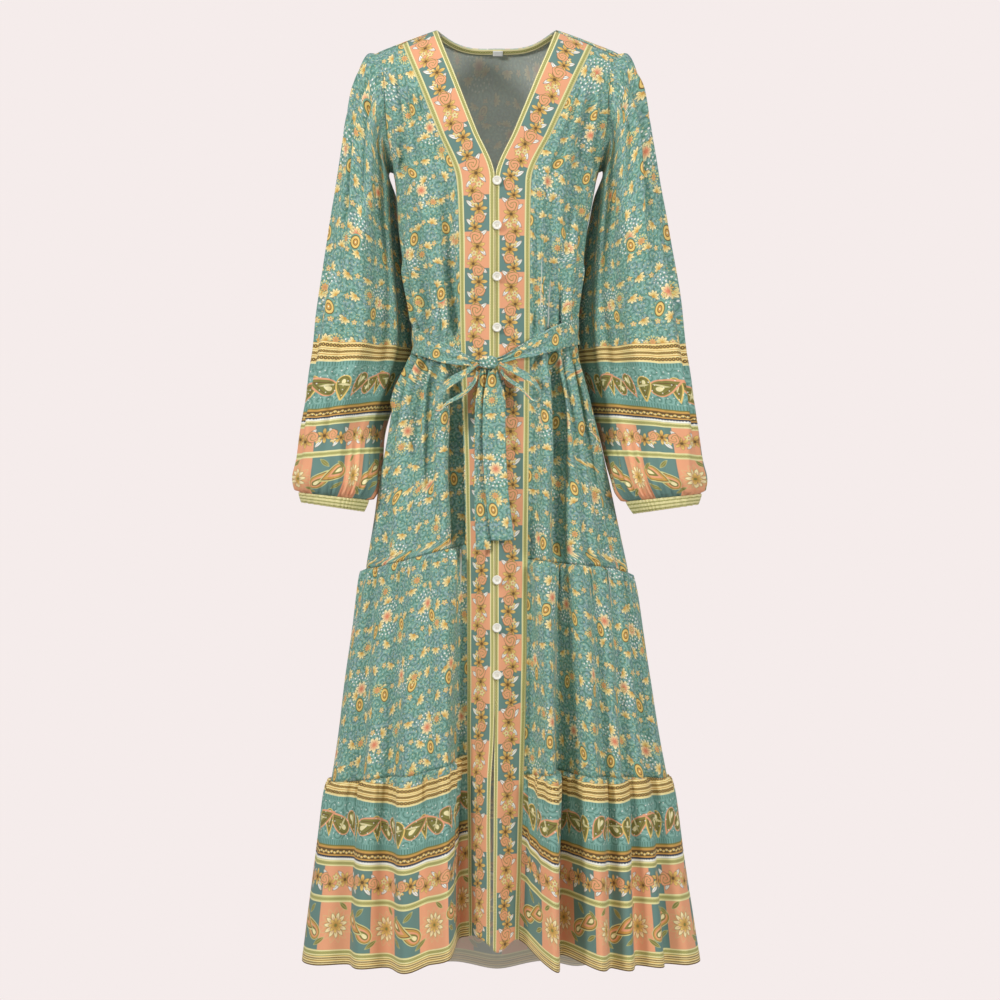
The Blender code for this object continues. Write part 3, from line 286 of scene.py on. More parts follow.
TAILS = {
    # mm: the edges of each tail of the belt, and how far each edge stands off the front
    "front": {
        "drop": (466, 500, 552, 625, 704),
        "left_x": (-11.5, -18, -20, -17, -8),
        "right_x": (1.5, 11, 12, 15, 24),
        "left_off": (17, 17, 17, 17, 17),
        "right_off": (16, 14.5, 14, 14, 14.5),
    },
    "back": {
        "drop": (466, 510, 577, 650, 717),
        "left_x": (-23, -30, -31, -31, -28),
        "right_x": (-15.5, -9, -9, -9, -8),
        "left_off": (18, 16, 16, 16, 16),
        "right_off": (17, 9.5, 8.6, 8.6, 9.2),
    },
}

BUTTON_DROPS = (202, 264, 335, 406, 476, 548, 619, 690, 759, 825, 890)
BUTTON_THICK = 0.0024
LABEL = {"across": (-0.0062, 0.0088), "below": (0.0015, 0.0100)}
LABEL_OFF = 0.0038
LABEL_THICK = 0.0006

SIDE_SIGN = {"left": -1.0, "right": 1.0}


def metres(values):
    return np.array(values, float) * MM


def smooth(fraction):
    f = np.clip(fraction, 0.0, 1.0)
    return f * f * (3.0 - 2.0 * f)


def curve(knots, values, x):
    """A smooth curve through a table's points, level past both ends."""
    knots, values, x = np.asarray(knots, float), np.asarray(values, float), np.asarray(x, float)
    slopes = np.gradient(values, knots)
    i = np.clip(np.searchsorted(knots, x) - 1, 0, len(knots) - 2)
    step = knots[i + 1] - knots[i]
    f = np.clip((x - knots[i]) / step, 0.0, 1.0)
    low = (1 + 2 * f) * (1 - f) ** 2 * values[i] + f * (1 - f) ** 2 * step * slopes[i]
    high = f * f * (3 - 2 * f) * values[i + 1] + f * f * (f - 1) * step * slopes[i + 1]
    return low + high


def column(table, name, drop, key="drop"):
    return curve(metres(table[key]), metres(table[name]), drop)


def unit(vectors):
    return vectors / np.maximum(np.linalg.norm(vectors, axis=-1, keepdims=True), 1e-12)


# ---- the master surface ----


def ridge(x):
    """Height of the shoulder line above the shoulder point."""
    return RIDGE_TOP - RIDGE_SLOPE * (np.sqrt(x * x + RIDGE_ROUND**2) - RIDGE_ROUND)


def fade(value, start_and_run):
    """0 before the start, 1 once the run is over."""
    return smooth((value - start_and_run[0]) / start_and_run[1])


def half_width(angle, drop):
    return np.where(angle < 0, column(BODY, "left", drop), column(BODY, "right", drop))


def seam_angle(reach):
    """The armhole's angle round the body, or the side seam's below the underarm."""
    degrees = np.interp(reach, metres(ARMHOLE["reach"]), ARMHOLE["angle"])
    return np.radians(degrees)


def angle_of(x, drop):
    width = half_width(x, drop)
    return np.arcsin(np.clip(x / width, -1.0, 1.0))


def panel_angle(part, place, reach, drop):
    """Angle round the body of a place across a panel: 0 to 1 is the panel, 1 to 2 its band."""
    edge = seam_angle(reach)
    if part == "back":
        return edge * (2.0 * place - 1.0)
    outer = angle_of(column(BANDS, part + "_outer", drop), drop)
    inner = angle_of(column(BANDS, part + "_inner", drop), drop)
    panel = SIDE_SIGN[part] * edge * (1.0 - place) + outer * place
    band = outer + (inner - outer) * (place - 1.0)
    return np.where(place <= 1.0, panel, band)


def fold_shape(part, place, drop):
    """Height and lean of the folds at a place across a panel."""
    rows = [dict(zip(FOLD_COLUMNS, row)) for row in FOLDS[part]]
    place_names, height_names = FOLD_COLUMNS[:4], FOLD_COLUMNS[4:10]
    places = [curve(metres(FOLD_PLACE_DROPS), [row[n] / 100 for n in place_names], drop) for row in rows]
    heights = [curve(metres(FOLD_HEIGHT_DROPS), [row[n] * MM for n in height_names], drop) for row in rows]
    leans = [row["lean"] * MM * fade(drop, LEAN_FROM) for row in rows]
    height = np.where(place > places[0], heights[-1], heights[0])
    lean = np.zeros_like(height)
    for k in range(len(rows) - 1):
        inside = (place >= places[k]) & (place <= places[k + 1])
        f = smooth((place - places[k]) / (places[k + 1] - places[k]))
        height = np.where(inside, heights[k] + f * (heights[k + 1] - heights[k]), height)
        lean = np.where(inside, leans[k] + f * (leans[k + 1] - leans[k]), lean)
    return height, lean


def surface(part, place, reach):
    """Middle of the cloth at a place across a panel and a reach along it from the ridge."""
    place, reach = np.broadcast_arrays(np.asarray(place, float), np.asarray(reach, float))
    side = np.where(reach < 0, -1.0, 1.0) * (1.0 if part == "back" else -1.0)
    along = np.abs(reach)
    turn = np.clip(along / ARCH, 0.0, 1.0) * math.pi / 2
    below = np.where(along < ARCH, ARCH * (1 - np.cos(turn)), along)
    swell = np.sin(turn)
    drop = below.copy()
    for _ in range(SETTLE_ROUNDS):
        angle = panel_angle(part, place, along, drop)
        wide = half_width(angle, drop)
        drop = below - ridge(wide * np.sin(angle))
    deep = np.where(side < 0, column(BODY, "front", drop), column(BODY, "back", drop))
    x = wide * np.sin(angle)
    y = side * deep * np.cos(angle) * swell
    out = unit(np.stack([deep * np.sin(angle), side * wide * np.cos(angle)], -1))
    height, lean = fold_shape(part, place, drop)
    lean = lean * (1.0 if part == "right" else -1.0)
    x = x + out[..., 0] * height + out[..., 1] * lean * side * -1.0
    y = y + out[..., 1] * height + out[..., 0] * lean * side
    return np.stack([x, y, -drop], -1)


def reach_at(part, place, drop):
    """Reach of a drop well below the arch of the shoulder."""
    angle = panel_angle(part, place, UNDERARM, drop)
    return drop + ridge(half_width(angle, drop) * np.sin(angle))


def seam_reach(part, place, seam):
    """Reach of a seam or hem line at each place across a panel."""
    table = SEAMS[seam]
    across, drops = metres(table["across"]), metres(table["drop"])
    level = np.full_like(place, drops.mean())
    angle = panel_angle(part, place, UNDERARM, level)
    x = half_width(angle, level) * np.sin(angle)
    drop = curve(across, drops, x)
    if part == "back":
        drop = np.interp(x, (across[0], across[-1]), (drops[0], drops[-1]))
        if seam == "hem":
            drop = drop + BACK_HEM_DIP * np.cos(angle) ** 2
    return reach_at(part, place, drop)


# ---- finer cloth ----

# Metres that shift the print along each panel, and the drop of a block's start on each band.
UV_SHIFT = {"left": 0.011, "right": 0.043, "back": 0.0}
BLOCK_START = {"left": 0.272, "right": 0.227}
CUFF_TO_BORDER = 0.021
# The way round a sleeve for its gathers and for its print, and round a cuff for its print.
SLEEVE_ROUND = 0.52
SLEEVE_PRINT_ROUND = 0.46
CUFF_ROUND = 0.30
CUFF_TALL = 0.0165
CUFF_THICK = 0.0014
CUFF_WAVES = 34
CUFF_WAVE_HEIGHT = 0.0013
CUFF_SWELL = 0.0012
# Thickness of the shells, and how far from the hem they are turned up and thicker.
SHELL = 0.0008
HEM_TURN = 0.012
HEM_EXTRA = 0.0006
HEM_STEP = 0.0012
BAND_EXTRA = 0.0004
# The creases die away over these lengths from a panel's sides, top and lower edge.
SIDE_GUARD = 0.008
TOP_GUARD = 0.02
LOW_GUARD = 0.012
SEAM_ROLL = 0.0009
SEAM_ROLL_RUN = 0.0035
COLUMN_COUNT = {"left": 132, "right": 128, "back": 216}
UPPER_ROW_COUNT = 170
TIER_ROW_COUNT = {"tier_1": 64, "tier_2": 72}
BAND_COLUMN_COUNT = 24
BAND_ROW_COUNT = 330
SLEEVE_COLUMN_COUNT = 168
SLEEVE_ROW_COUNT = 156
CUFF_ROW_COUNT = 12

# What the heights in the tables of creases and gathers are multiplied by.
CREASE_DEPTH = 2.4
PLEAT_DEPTH = 3.0
SLEEVE_CREASE_DEPTH = 2.9
# Creases: from and to, in hundredths of the way across the panel and mm of drop, then how far
# each stands out (or sinks in) and half its width, in mm.
CREASE_COLUMNS = ("from_at", "from_drop", "to_at", "to_drop", "height", "width")
CREASES = {
    "left": (
        (62, 60, 70, 250, -2.2, 9),
        (78, 40, 86, 210, 2.0, 8),
        (45, 30, 40, 200, -2.4, 10),
        (28, 70, 30, 330, 2.2, 9),
        (55, 190, 62, 400, -3.0, 8),
        (36, 240, 42, 405, 2.6, 7),
        (20, 250, 26, 410, -2.4, 8),
        (70, 300, 73, 412, 2.4, 6),
        (86, 300, 85, 420, -2.8, 6),
        (8, 300, 12, 400, 2.0, 6),
        (30, 432, 27, 560, -2.6, 7),
        (46, 430, 43, 640, 2.8, 8),
        (58, 436, 60, 600, -2.6, 7),
        (80, 440, 83, 660, 2.4, 7),
        (15, 430, 13, 520, 2.2, 6),
        (24, 560, 30, 735, 2.2, 11),
        (66, 560, 68, 735, -2.2, 10),
        (40, 650, 44, 740, -1.8, 9),
    ),
    "right": (
        (70, 50, 78, 230, 2.2, 9),
        (58, 60, 60, 280, -2.6, 10),
        (40, 50, 38, 260, 2.2, 10),
        (22, 70, 22, 320, -2.2, 10),
        (86, 180, 84, 400, -2.8, 7),
        (50, 230, 50, 405, 2.8, 7),
        (32, 240, 36, 408, -2.6, 7),
        (66, 280, 64, 408, -2.4, 6),
        (14, 300, 15, 400, 2.0, 6),
        (76, 320, 74, 410, 2.2, 5),
        (26, 432, 24, 590, 2.6, 7),
        (38, 430, 42, 640, -2.8, 7),
        (52, 432, 50, 560, 2.6, 6),
        (70, 436, 73, 640, -2.4, 6),
        (84, 440, 88, 620, 2.6, 6),
        (12, 430, 10, 540, -2.2, 6),
        (30, 560, 36, 735, -2.2, 11),
        (60, 600, 57, 740, 2.0, 10),
    ),
    "back": (
        (22, 60, 26, 300, -2.6, 12),
        (36, 50, 35, 260, 2.0, 12),
        (50, 90, 50, 380, -2.2, 13),
        (66, 60, 63, 300, 2.4, 12),
        (80, 70, 76, 280, -2.4, 12),
        (12, 240, 15, 405, 2.4, 8),
        (24, 250, 24, 402, -2.8, 8),
        (33, 260, 34, 404, 2.6, 7),
        (45, 250, 44, 402, 2.8, 8),
        (56, 270, 57, 404, -2.8, 7),
        (70, 250, 69, 402, 2.6, 8),
        (82, 260, 80, 404, -2.4, 8),
        (91, 280, 89, 402, 2.2, 7),
        (10, 428, 8, 560, -2.4, 7),
        (21, 428, 20, 640, 2.8, 8),
        (31, 428, 32, 560, -2.6, 7),
        (41, 428, 40, 620, 2.6, 8),
        (53, 428, 54, 600, 2.6, 7),
        (62, 428, 61, 540, -2.6, 7),
        (75, 428, 76, 640, -2.8, 8),
        (86, 428, 88, 560, 2.6, 7),
        (30, 600, 28, 735, 2.0, 12),
        (68, 600, 71, 735, -2.0, 12),
    ),
}
# The deepest folds, with steep sides, in the same columns and at their own depth.
TROUGHS = {
    "left": (
        (85, 190, 90, 428, -9.0, 8.0),
        (67, 300, 60, 428, -6.5, 4.5),
        (20, 262, 27, 425, -6.0, 4.0),
        (72, 445, 76, 640, -8.0, 7.5),
        (95.5, 440, 95.5, 735, -11.0, 8.5),
        (50, 445, 48, 520, -6.0, 6.0),
        (88, 60, 84, 190, -4.0, 9.0),
    ),
    "right": (
        (66, 290, 60, 428, -9.0, 7.5),
        (93, 230, 94, 428, -5.0, 5.0),
        (30, 250, 34, 425, -6.0, 4.5),
        (66, 445, 76, 600, -11.0, 8.0),
        (76, 560, 78, 738, -10.0, 8.0),
        (42, 445, 38, 560, -6.0, 5.0),
        (84, 60, 80, 220, -4.0, 9.0),
    ),
    "back": (
        (20, 240, 23, 425, -8.0, 7.0),
        (38, 260, 37, 425, -7.0, 6.0),
        (63, 250, 62, 425, -8.0, 7.0),
        (77, 270, 76, 425, -7.0, 6.0),
        (16, 445, 12, 690, -9.0, 8.0),
        (36, 445, 35, 640, -8.0, 7.0),
        (58, 445, 60, 700, -9.0, 8.0),
        (80, 445, 84, 660, -8.0, 7.0),
    ),
}
# Gathers under a seam, taken in turn: the way to the next one, how high it stands, how far it
# runs down the cloth and half its width, in mm.
PLEATS = (
    (9, 2.0, 34, 2.9), (12, 2.9, 58, 3.6), (8, 1.6, 22, 2.4), (14, 3.1, 76, 4.1), (10, 2.2, 40, 3.0),
    (7, 1.4, 18, 2.2), (13, 2.7, 66, 3.8), (11, 2.4, 30, 3.2), (16, 3.0, 92, 4.6), (9, 1.8, 26, 2.6),
    (12, 2.6, 50, 3.4), (8, 2.1, 36, 2.7), (15, 2.8, 70, 4.4),
)
# Which gather each part's tiers begin with.
FIRST_PLEAT = {"left": 6, "right": 10, "back": 14}
PLEAT_START = 0.004
# Creases of a sleeve: degrees round it and hundredths of the way down it, from and to.
SLEEVE_CREASES = (
    (20, 2, 30, 30, 2.0, 6),
    (38, 2, 52, 46, -2.6, 7),
    (56, 4, 66, 60, 2.6, 7),
    (70, 3, 80, 38, -2.2, 6),
    (84, 30, 88, 88, 2.2, 7),
    (66, 52, 74, 94, -2.4, 7),
    (40, 48, 46, 96, 2.6, 8),
    (24, 40, 28, 94, -2.2, 7),
    (8, 10, 12, 70, 1.6, 8),
    (112, 20, 116, 84, -1.8, 7),
    (334, 4, 322, 44, -2.2, 7),
    (312, 2, 302, 50, 2.4, 8),
    (346, 30, 340, 92, 2.0, 8),
    (296, 44, 290, 94, -2.4, 7),
    (274, 20, 268, 80, 2.0, 7),
    (232, 30, 236, 88, 1.6, 7),
    (318, 60, 326, 96, -2.2, 7),
)


def normals(grid):
    """Directions across a grid of points, by its own winding."""
    across, down = np.gradient(grid, axis=1), np.gradient(grid, axis=0)
    return unit(np.cross(across, down))


def tube_normals(grid):
    around = np.roll(grid, -1, axis=1) - np.roll(grid, 1, axis=1)
    return unit(np.cross(around, np.gradient(grid, axis=0)))


def run_length(grid, axis):
    steps = np.linalg.norm(np.diff(grid, axis=axis), axis=-1)
    pad = [(0, 0), (0, 0)]
    pad[axis] = (1, 0)
    return np.cumsum(np.pad(steps, pad), axis=axis)


def creased(part, places, drops):
    """Height of the listed creases over a panel."""
    total = np.zeros_like(places)
    rows = [(row, 2, CREASE_DEPTH) for row in CREASES[part]] + [(row, 4, 1.0) for row in TROUGHS[part]]
    for row, power, depth in rows:
        at = dict(zip(CREASE_COLUMNS, row))
        first, last = at["from_drop"] * MM, at["to_drop"] * MM
        f = (drops - first) / (last - first)
        middle = (at["from_at"] + (at["to_at"] - at["from_at"]) * f) / 100
        middle = middle + 0.006 * np.sin(drops * 37 + at["from_at"])
        span = half_width(np.where(places > 0, 1.0, -1.0), drops) * (2.6 if part == "back" else 1.15)
        off = (places - middle) * span / (at["width"] * MM)
        ends = smooth(f / 0.22) * smooth((1 - f) / 0.12)
        total += depth * at["height"] * MM * np.exp(-np.abs(off) ** power) * ends
    return total


def pleated(distance, down, offset=0):
    """Height of the gathers under a seam, by the way along it and down from it."""
    total = np.zeros_like(distance)
    at, k, longest = 0.0, offset, float(distance.max())
    while at < longest:
        gap, height, run, width = PLEATS[k % len(PLEATS)]
        at += gap * MM
        k += 1
        spread = width * MM * (1 + down / 0.12)
        off = (distance - at - 0.02 * down * math.sin(k * 2.4)) / spread
        total += PLEAT_DEPTH * height * MM * np.exp(-off * off) * np.exp(-down / (run * MM))
    return (total - 0.0012 * np.exp(-down / 0.04)) * smooth(down / PLEAT_START)


def rolled(sides):
    """A slight inward roll along the chosen edges, by the way from each."""
    total = 0.0
    for length in sides:
        total = total - SEAM_ROLL * np.exp(-length / SEAM_ROLL_RUN)
    return total


def cell_corners(row, left, right, columns):
    """Indices of the four corners of each cell of a grid that is some columns wide."""
    this, below = row * columns, (row + 1) * columns
    return np.stack([this + left, this + right, below + right, below + left], -1).reshape(-1, 4)


def add_object(name, data):
    obj = bpy.data.objects.new(name, data)
    bpy.context.scene.collection.objects.link(obj)
    return obj


def shell(name, grid, out, uv, front, back, thick=None, tube=False):
    """A closed thin shell through a grid of points, its inner side with its own material."""
    rows, columns = grid.shape[:2]
    thick = np.full((rows, columns), SHELL) if thick is None else thick
    half = thick[..., None] / 2
    verts = np.concatenate([(grid + out * half).reshape(-1, 3), (grid - out * half).reshape(-1, 3)])
    count, cells, wide = rows * columns, columns if tube else columns - 1, uv.shape[1]
    across, down = grid[1:, 1:] - grid[1:, :-1], grid[1:, 1:] - grid[:-1, 1:]
    flip = float((np.cross(across, down) * out[1:, 1:]).sum()) > 0
    faces, uvs = [], []

    def add(corners, coords):
        faces.append(corners[:, ::-1] if flip else corners)
        uvs.append(coords[:, ::-1] if flip else coords)

    def rim(line, uv_line, forward):
        a, b = (line[:-1], line[1:]) if forward else (line[1:], line[:-1])
        ua, ub = (uv_line[:-1], uv_line[1:]) if forward else (uv_line[1:], uv_line[:-1])
        add(np.stack([a, b, b + count, a + count], -1), np.stack([ua, ub, ub, ua], -1))

    r, c = np.meshgrid(np.arange(rows - 1), np.arange(cells), indexing="ij")
    right = (c + 1) % columns
    quad = cell_corners(r, c, right, columns)
    coords = cell_corners(r, c, c + 1, wide)
    add(quad, coords)
    add(quad[:, ::-1] + count, coords[:, ::-1])
    ring, uv_ring = np.arange(cells + 1) % columns, np.arange(cells + 1)
    rim(ring, uv_ring, False)
    rim((rows - 1) * columns + ring, (rows - 1) * wide + uv_ring, True)
    if not tube:
        side = np.arange(rows)
        rim(side * columns, side * wide, True)
        rim(side * columns + columns - 1, side * wide + wide - 1, False)
    faces, uvs = np.concatenate(faces), np.concatenate(uvs)
    mesh = bpy.data.meshes.new(name)
    mesh.vertices.add(len(verts))
    mesh.vertices.foreach_set("co", verts.astype(np.float32).ravel())
    mesh.loops.add(len(faces) * 4)
    mesh.loops.foreach_set("vertex_index", faces.astype(np.int32).ravel())
    mesh.polygons.add(len(faces))
    mesh.polygons.foreach_set("loop_start", np.arange(0, len(faces) * 4, 4, dtype=np.int32))
    mesh.materials.append(front)
    mesh.materials.append(back)
    inner = np.zeros(len(faces), np.int32)
    inner[len(quad):2 * len(quad)] = 1
    mesh.polygons.foreach_set("material_index", inner)
    mesh.polygons.foreach_set("use_smooth", np.ones(len(faces), bool))
    layer = mesh.uv_layers.new(name="UVMap")
    layer.data.foreach_set("uv", uv.reshape(-1, 2)[uvs.ravel()].astype(np.float32).ravel())
    mesh.update(calc_edges=True)
    mesh.validate()
    return add_object(name + "_cloth", mesh)


def settle(obj, node):
    """Rides and replaces one piece of cloth."""
    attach(obj, "root")
    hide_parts(node)


# ---- colours and prints ----


def linear(red, green, blue):
    """A linear colour from 0 to 255 display values."""
    values = [v / 255 for v in (red, green, blue)]
    return tuple(v / 12.92 if v <= 0.04045 else ((v + 0.055) / 1.055) ** 2.4 for v in values) + (1.0,)


TEAL = linear(126, 170, 158)
TEAL_BLUE = linear(136, 164, 168)
TEAL_GREEN = linear(120, 168, 146)
VINE = linear(86, 128, 114)
PALE = linear(172, 208, 196)
GOLD = linear(238, 202, 118)
CREAM = linear(248, 236, 182)
WHITE = linear(246, 244, 234)
OCHRE = linear(208, 160, 86)
PEACH = linear(236, 168, 128)
ROSE = linear(222, 136, 102)
BROWN = linear(112, 88, 54)
OLIVE = linear(136, 132, 70)
MOSS = linear(158, 154, 88)
BEAD = linear(216, 212, 146)
BLOCK = linear(108, 140, 132)
NAVY = linear(48, 60, 78)
WRONG_SIDE = linear(226, 228, 220)


class Node:
    """A socket of a shader tree, with arithmetic that adds Math nodes."""

    def __init__(self, tree, socket):
        self.tree, self.socket = tree, socket

    def __add__(self, other):
        return calc("ADD", self, other)

    def __sub__(self, other):
        return calc("SUBTRACT", self, other)

    def __rsub__(self, other):
        return calc("SUBTRACT", other, self)

    def __mul__(self, other):
        return calc("MULTIPLY", self, other)

    def __truediv__(self, other):
        return calc("DIVIDE", self, other)

    __radd__, __rmul__ = __add__, __mul__


def plug(tree, socket, value):
    if isinstance(value, Node):
        tree.links.new(value.socket, socket)
    else:
        socket.default_value = value


def calc(operation, *values):
    tree = next(v.tree for v in values if isinstance(v, Node))
    node = tree.nodes.new("ShaderNodeMath")
    node.operation = operation
    for socket, value in zip(node.inputs, values):
        plug(tree, socket, value)
    return Node(tree, node.outputs[0])


def inside(distance, soft=0.35):
    """1 where a distance is above 0, with a soft edge."""
    node = distance.tree.nodes.new("ShaderNodeMapRange")
    node.interpolation_type, node.clamp = "SMOOTHSTEP", False
    for socket, value in zip(node.inputs, (distance, -0.65 * soft, 0.65 * soft)):
        plug(distance.tree, socket, value)
    return Node(distance.tree, node.outputs[0])


def over(base, colour, mask):
    """A colour laid over another where the mask is 1."""
    tree = next(v.tree for v in (mask, base, colour) if isinstance(v, Node))
    node = tree.nodes.new("ShaderNodeMix")
    node.data_type = "RGBA"
    plug(tree, node.inputs[0], mask)
    plug(tree, node.inputs[6], base)
    plug(tree, node.inputs[7], colour)
    return Node(tree, node.outputs[2])


PAINTED = {}


def grouped(paint):
    """Makes a painter into a node group, which every call with the same sizes shares."""

    def call(colour, u, v, **sizes):
        key = (paint.__name__, *sorted(sizes.items()))
        if key not in PAINTED:
            made = bpy.data.node_groups.new(paint.__name__, "ShaderNodeTree")
            for name, kind in (("Colour", "Color"), ("U", "Float"), ("V", "Float")):
                made.interface.new_socket(name, in_out="INPUT", socket_type="NodeSocket" + kind)
            made.interface.new_socket("Colour", in_out="OUTPUT", socket_type="NodeSocketColor")
            entry, last = made.nodes.new("NodeGroupInput"), made.nodes.new("NodeGroupOutput")
            plug(made, last.inputs[0], paint(*(Node(made, entry.outputs[i]) for i in range(3)), **sizes))
            PAINTED[key] = made
        node = u.tree.nodes.new("ShaderNodeGroup")
        node.node_tree = PAINTED[key]
        for socket, value in zip(node.inputs, (colour, u, v)):
            plug(u.tree, socket, value)
        return Node(u.tree, node.outputs[0])

    return call


def polar(x, y):
    return calc("SQRT", x * x + y * y), calc("ARCTAN2", x, y)


def pair(x, y):
    node = x.tree.nodes.new("ShaderNodeCombineXYZ")
    plug(x.tree, node.inputs[0], x)
    plug(x.tree, node.inputs[1], y)
    return node.outputs[0]


def noise(u, v, scale, detail=2.0):
    place = pair(u, v)
    node = u.tree.nodes.new("ShaderNodeTexNoise")
    node.noise_dimensions = "2D"
    node.inputs["Scale"].default_value = scale
    node.inputs["Detail"].default_value = detail
    u.tree.links.new(place, node.inputs["Vector"])
    return Node(u.tree, node.outputs["Fac"])


def repeat(u, pitch, shift=0.0):
    """The way from the middle of each of a row of even cells."""
    f = (u + shift) / pitch
    return (f - calc("FLOOR", f) - 0.5) * pitch


def lattice(u, v, wide, tall, shift=(0.0, 0.0), stagger=0.5, jitter=0.0):
    """Local x and y in the cell of a lattice, with three random values of that cell."""
    tree = u.tree
    v = (v + shift[1]) / tall
    row = calc("FLOOR", v)
    u = (u + shift[0]) / wide + calc("MODULO", row * stagger, 1.0)
    col = calc("FLOOR", u)
    cell = pair(col + 0.5, row + 0.5 + shift[0])
    white = tree.nodes.new("ShaderNodeTexWhiteNoise")
    white.noise_dimensions = "2D"
    tree.links.new(cell, white.inputs["Vector"])
    split = tree.nodes.new("ShaderNodeSeparateColor")
    tree.links.new(white.outputs["Color"], split.inputs[0])
    rnd = [Node(tree, split.outputs[i]) for i in range(3)]
    x = (u - col - 0.5) * wide
    y = (v - row - 0.5) * tall
    if jitter:
        x, y = x + (rnd[0] - 0.5) * jitter, y + (rnd[1] - 0.5) * jitter
    return x, y, rnd


def turned(x, y, angle):
    """The same point in axes turned by an angle."""
    if isinstance(angle, Node):
        c, s = calc("COSINE", angle), calc("SINE", angle)
    else:
        c, s = math.cos(angle), math.sin(angle)
    return x * c + y * s, y * c - x * s


@grouped
def petals(colour, x, y, size=8.0, count=5, width=0.2, spread=4.0, fill=None, tip=None, heart=None,
           line=None):
    """Petals round a heart, rounded towards their tips; a small spread leaves a fan of them."""
    r, turn = polar(x, y)
    f = turn * (count / (2 * math.pi))
    away = calc("ABSOLUTE", f - calc("ROUND", f)) * r * (2 * math.pi / count)
    f = r / size
    edge = (f - f * f * f * f) * (2.1 * width * size) - away
    if spread < math.pi:
        edge = calc("MINIMUM", edge, (spread - calc("ABSOLUTE", turn)) * 4.0)
    colour = over(colour, line or BROWN, inside(edge + 0.45, 0.4))
    shade = over(fill or GOLD, tip or CREAM, inside(r - size * 0.55, size * 0.5))
    shade = over(shade, line or BROWN, inside(0.2 - away, 0.35) * inside(size * 0.7 - r, 0.5) * 0.55)
    colour = over(colour, shade, inside(edge, 0.5))
    return over(colour, heart or OCHRE, inside(size * 0.21 - r, 0.5))


@grouped
def rose(colour, x, y, size=9.0, fill=None, tip=None):
    """A full rose: a scalloped outline round curling lines."""
    r, turn = polar(x, y)
    edge = (calc("ABSOLUTE", calc("COSINE", turn * 2.5 + 0.6)) * 0.16 + 0.84) * size
    colour = over(colour, BROWN, inside(edge + 0.5 - r, 0.4))
    curl = calc("SINE", r * (13.0 / size) + turn * 2.0 + calc("SINE", turn * 3.0) * 0.9)
    shade = over(fill or PEACH, tip or GOLD, curl * 0.5 + 0.15)
    colour = over(colour, shade, inside(edge - r, 0.4))
    lines = inside(curl - 0.8, 0.25) * inside(edge - r, 0.4) * inside(r - size * 0.12, 0.5)
    return over(colour, BROWN, lines * 0.85)


@grouped
def leaf(colour, x, y, length=15.0, width=5.0, fill=None, line=None):
    """A pointed leaf along y, with its middle vein."""
    across = calc("ABSOLUTE", x)
    edge = (1 - y * y * (4 / length**2)) * width / 2
    colour = over(colour, line or BROWN, inside(edge + 0.5 - across, 0.4))
    tint = over(fill or WHITE, line or BROWN, inside(0.3 - across, 0.3) * 0.7)
    return over(colour, tint, inside(edge - across, 0.4))


@grouped
def drop_motif(colour, x, y, size=15.0, bend=0.9, layers=()):
    """Nested drops, round below with the tip bent aside: each a share of the size and a colour."""
    for share, tint in layers:
        small = size * share
        up = (y + size * 0.5 * (1 - share)) / (small * 2.4) + 0.42
        up = calc("MAXIMUM", calc("MINIMUM", up, 1.0), 0.0)
        side = calc("ABSOLUTE", x - up * up * (bend * small))
        colour = over(colour, tint, inside(calc("SQRT", up) * (1 - up) * (small * 1.75) - side - 0.4, 0.5))
    return colour


OVAL_LAYERS = ((1.42, TEAL_GREEN), (1.16, BROWN), (1.0, GOLD), (0.6, BROWN), (0.46, OCHRE), (0.16, CREAM))


@grouped
def ovals(colour, x, y, size=5.6):
    """A golden oval with a dark ring inside it and a pale ring round it."""
    r = calc("SQRT", x * x + y * y * 0.42)
    for share, tint in OVAL_LAYERS:
        colour = over(colour, tint, inside(size * share - r, 0.5))
    return colour


@grouped
def dotted_arcs(colour, x, y, first=11.0, gap=5.4, count=3, sector=0.86, dot=1.15):
    """White dots in arcs above and below a bud."""
    r, turn = polar(x, y)
    k = calc("ROUND", (r - first) / gap)
    radius = k * gap + first
    number = calc("ROUND", radius * (2 * math.pi / gap))
    along = turn * number / (2 * math.pi) + k * 0.5
    off = (along - calc("ROUND", along)) * (radius * 2 * math.pi) / number
    away = calc("SQRT", off * off + (r - radius) * (r - radius))
    near = inside(k + 0.5, 0.1) * inside(count - 0.5 - k, 0.1)
    facing = calc("ABSOLUTE", calc("SINE", turn))
    return over(colour, WHITE, inside(dot - away, 0.5) * near * inside(sector - facing, 0.1) * 0.95)


def spirals(u, v, cell, pitch, seed=0.0):
    """Curls that fill the ground: spirals round scattered points."""
    tree = u.tree
    a, b = u / cell + seed, v / cell + seed
    place = pair(a, b)
    spread = tree.nodes.new("ShaderNodeTexVoronoi")
    spread.voronoi_dimensions = "2D"
    spread.inputs["Scale"].default_value = 1.0
    spread.inputs["Randomness"].default_value = 0.85
    tree.links.new(place, spread.inputs["Vector"])
    split = tree.nodes.new("ShaderNodeSeparateXYZ")
    tree.links.new(spread.outputs["Position"], split.inputs[0])
    tone = tree.nodes.new("ShaderNodeSeparateColor")
    tree.links.new(spread.outputs["Color"], tone.inputs[0])
    x, y = (a - Node(tree, split.outputs[0])) * cell, (b - Node(tree, split.outputs[1])) * cell
    r, turn = polar(x, y)
    way = calc("SIGN", Node(tree, tone.outputs[0]) - 0.5)
    return calc("SINE", turn * way + r * (2 * math.pi / pitch) + Node(tree, tone.outputs[1]) * 6.28), r


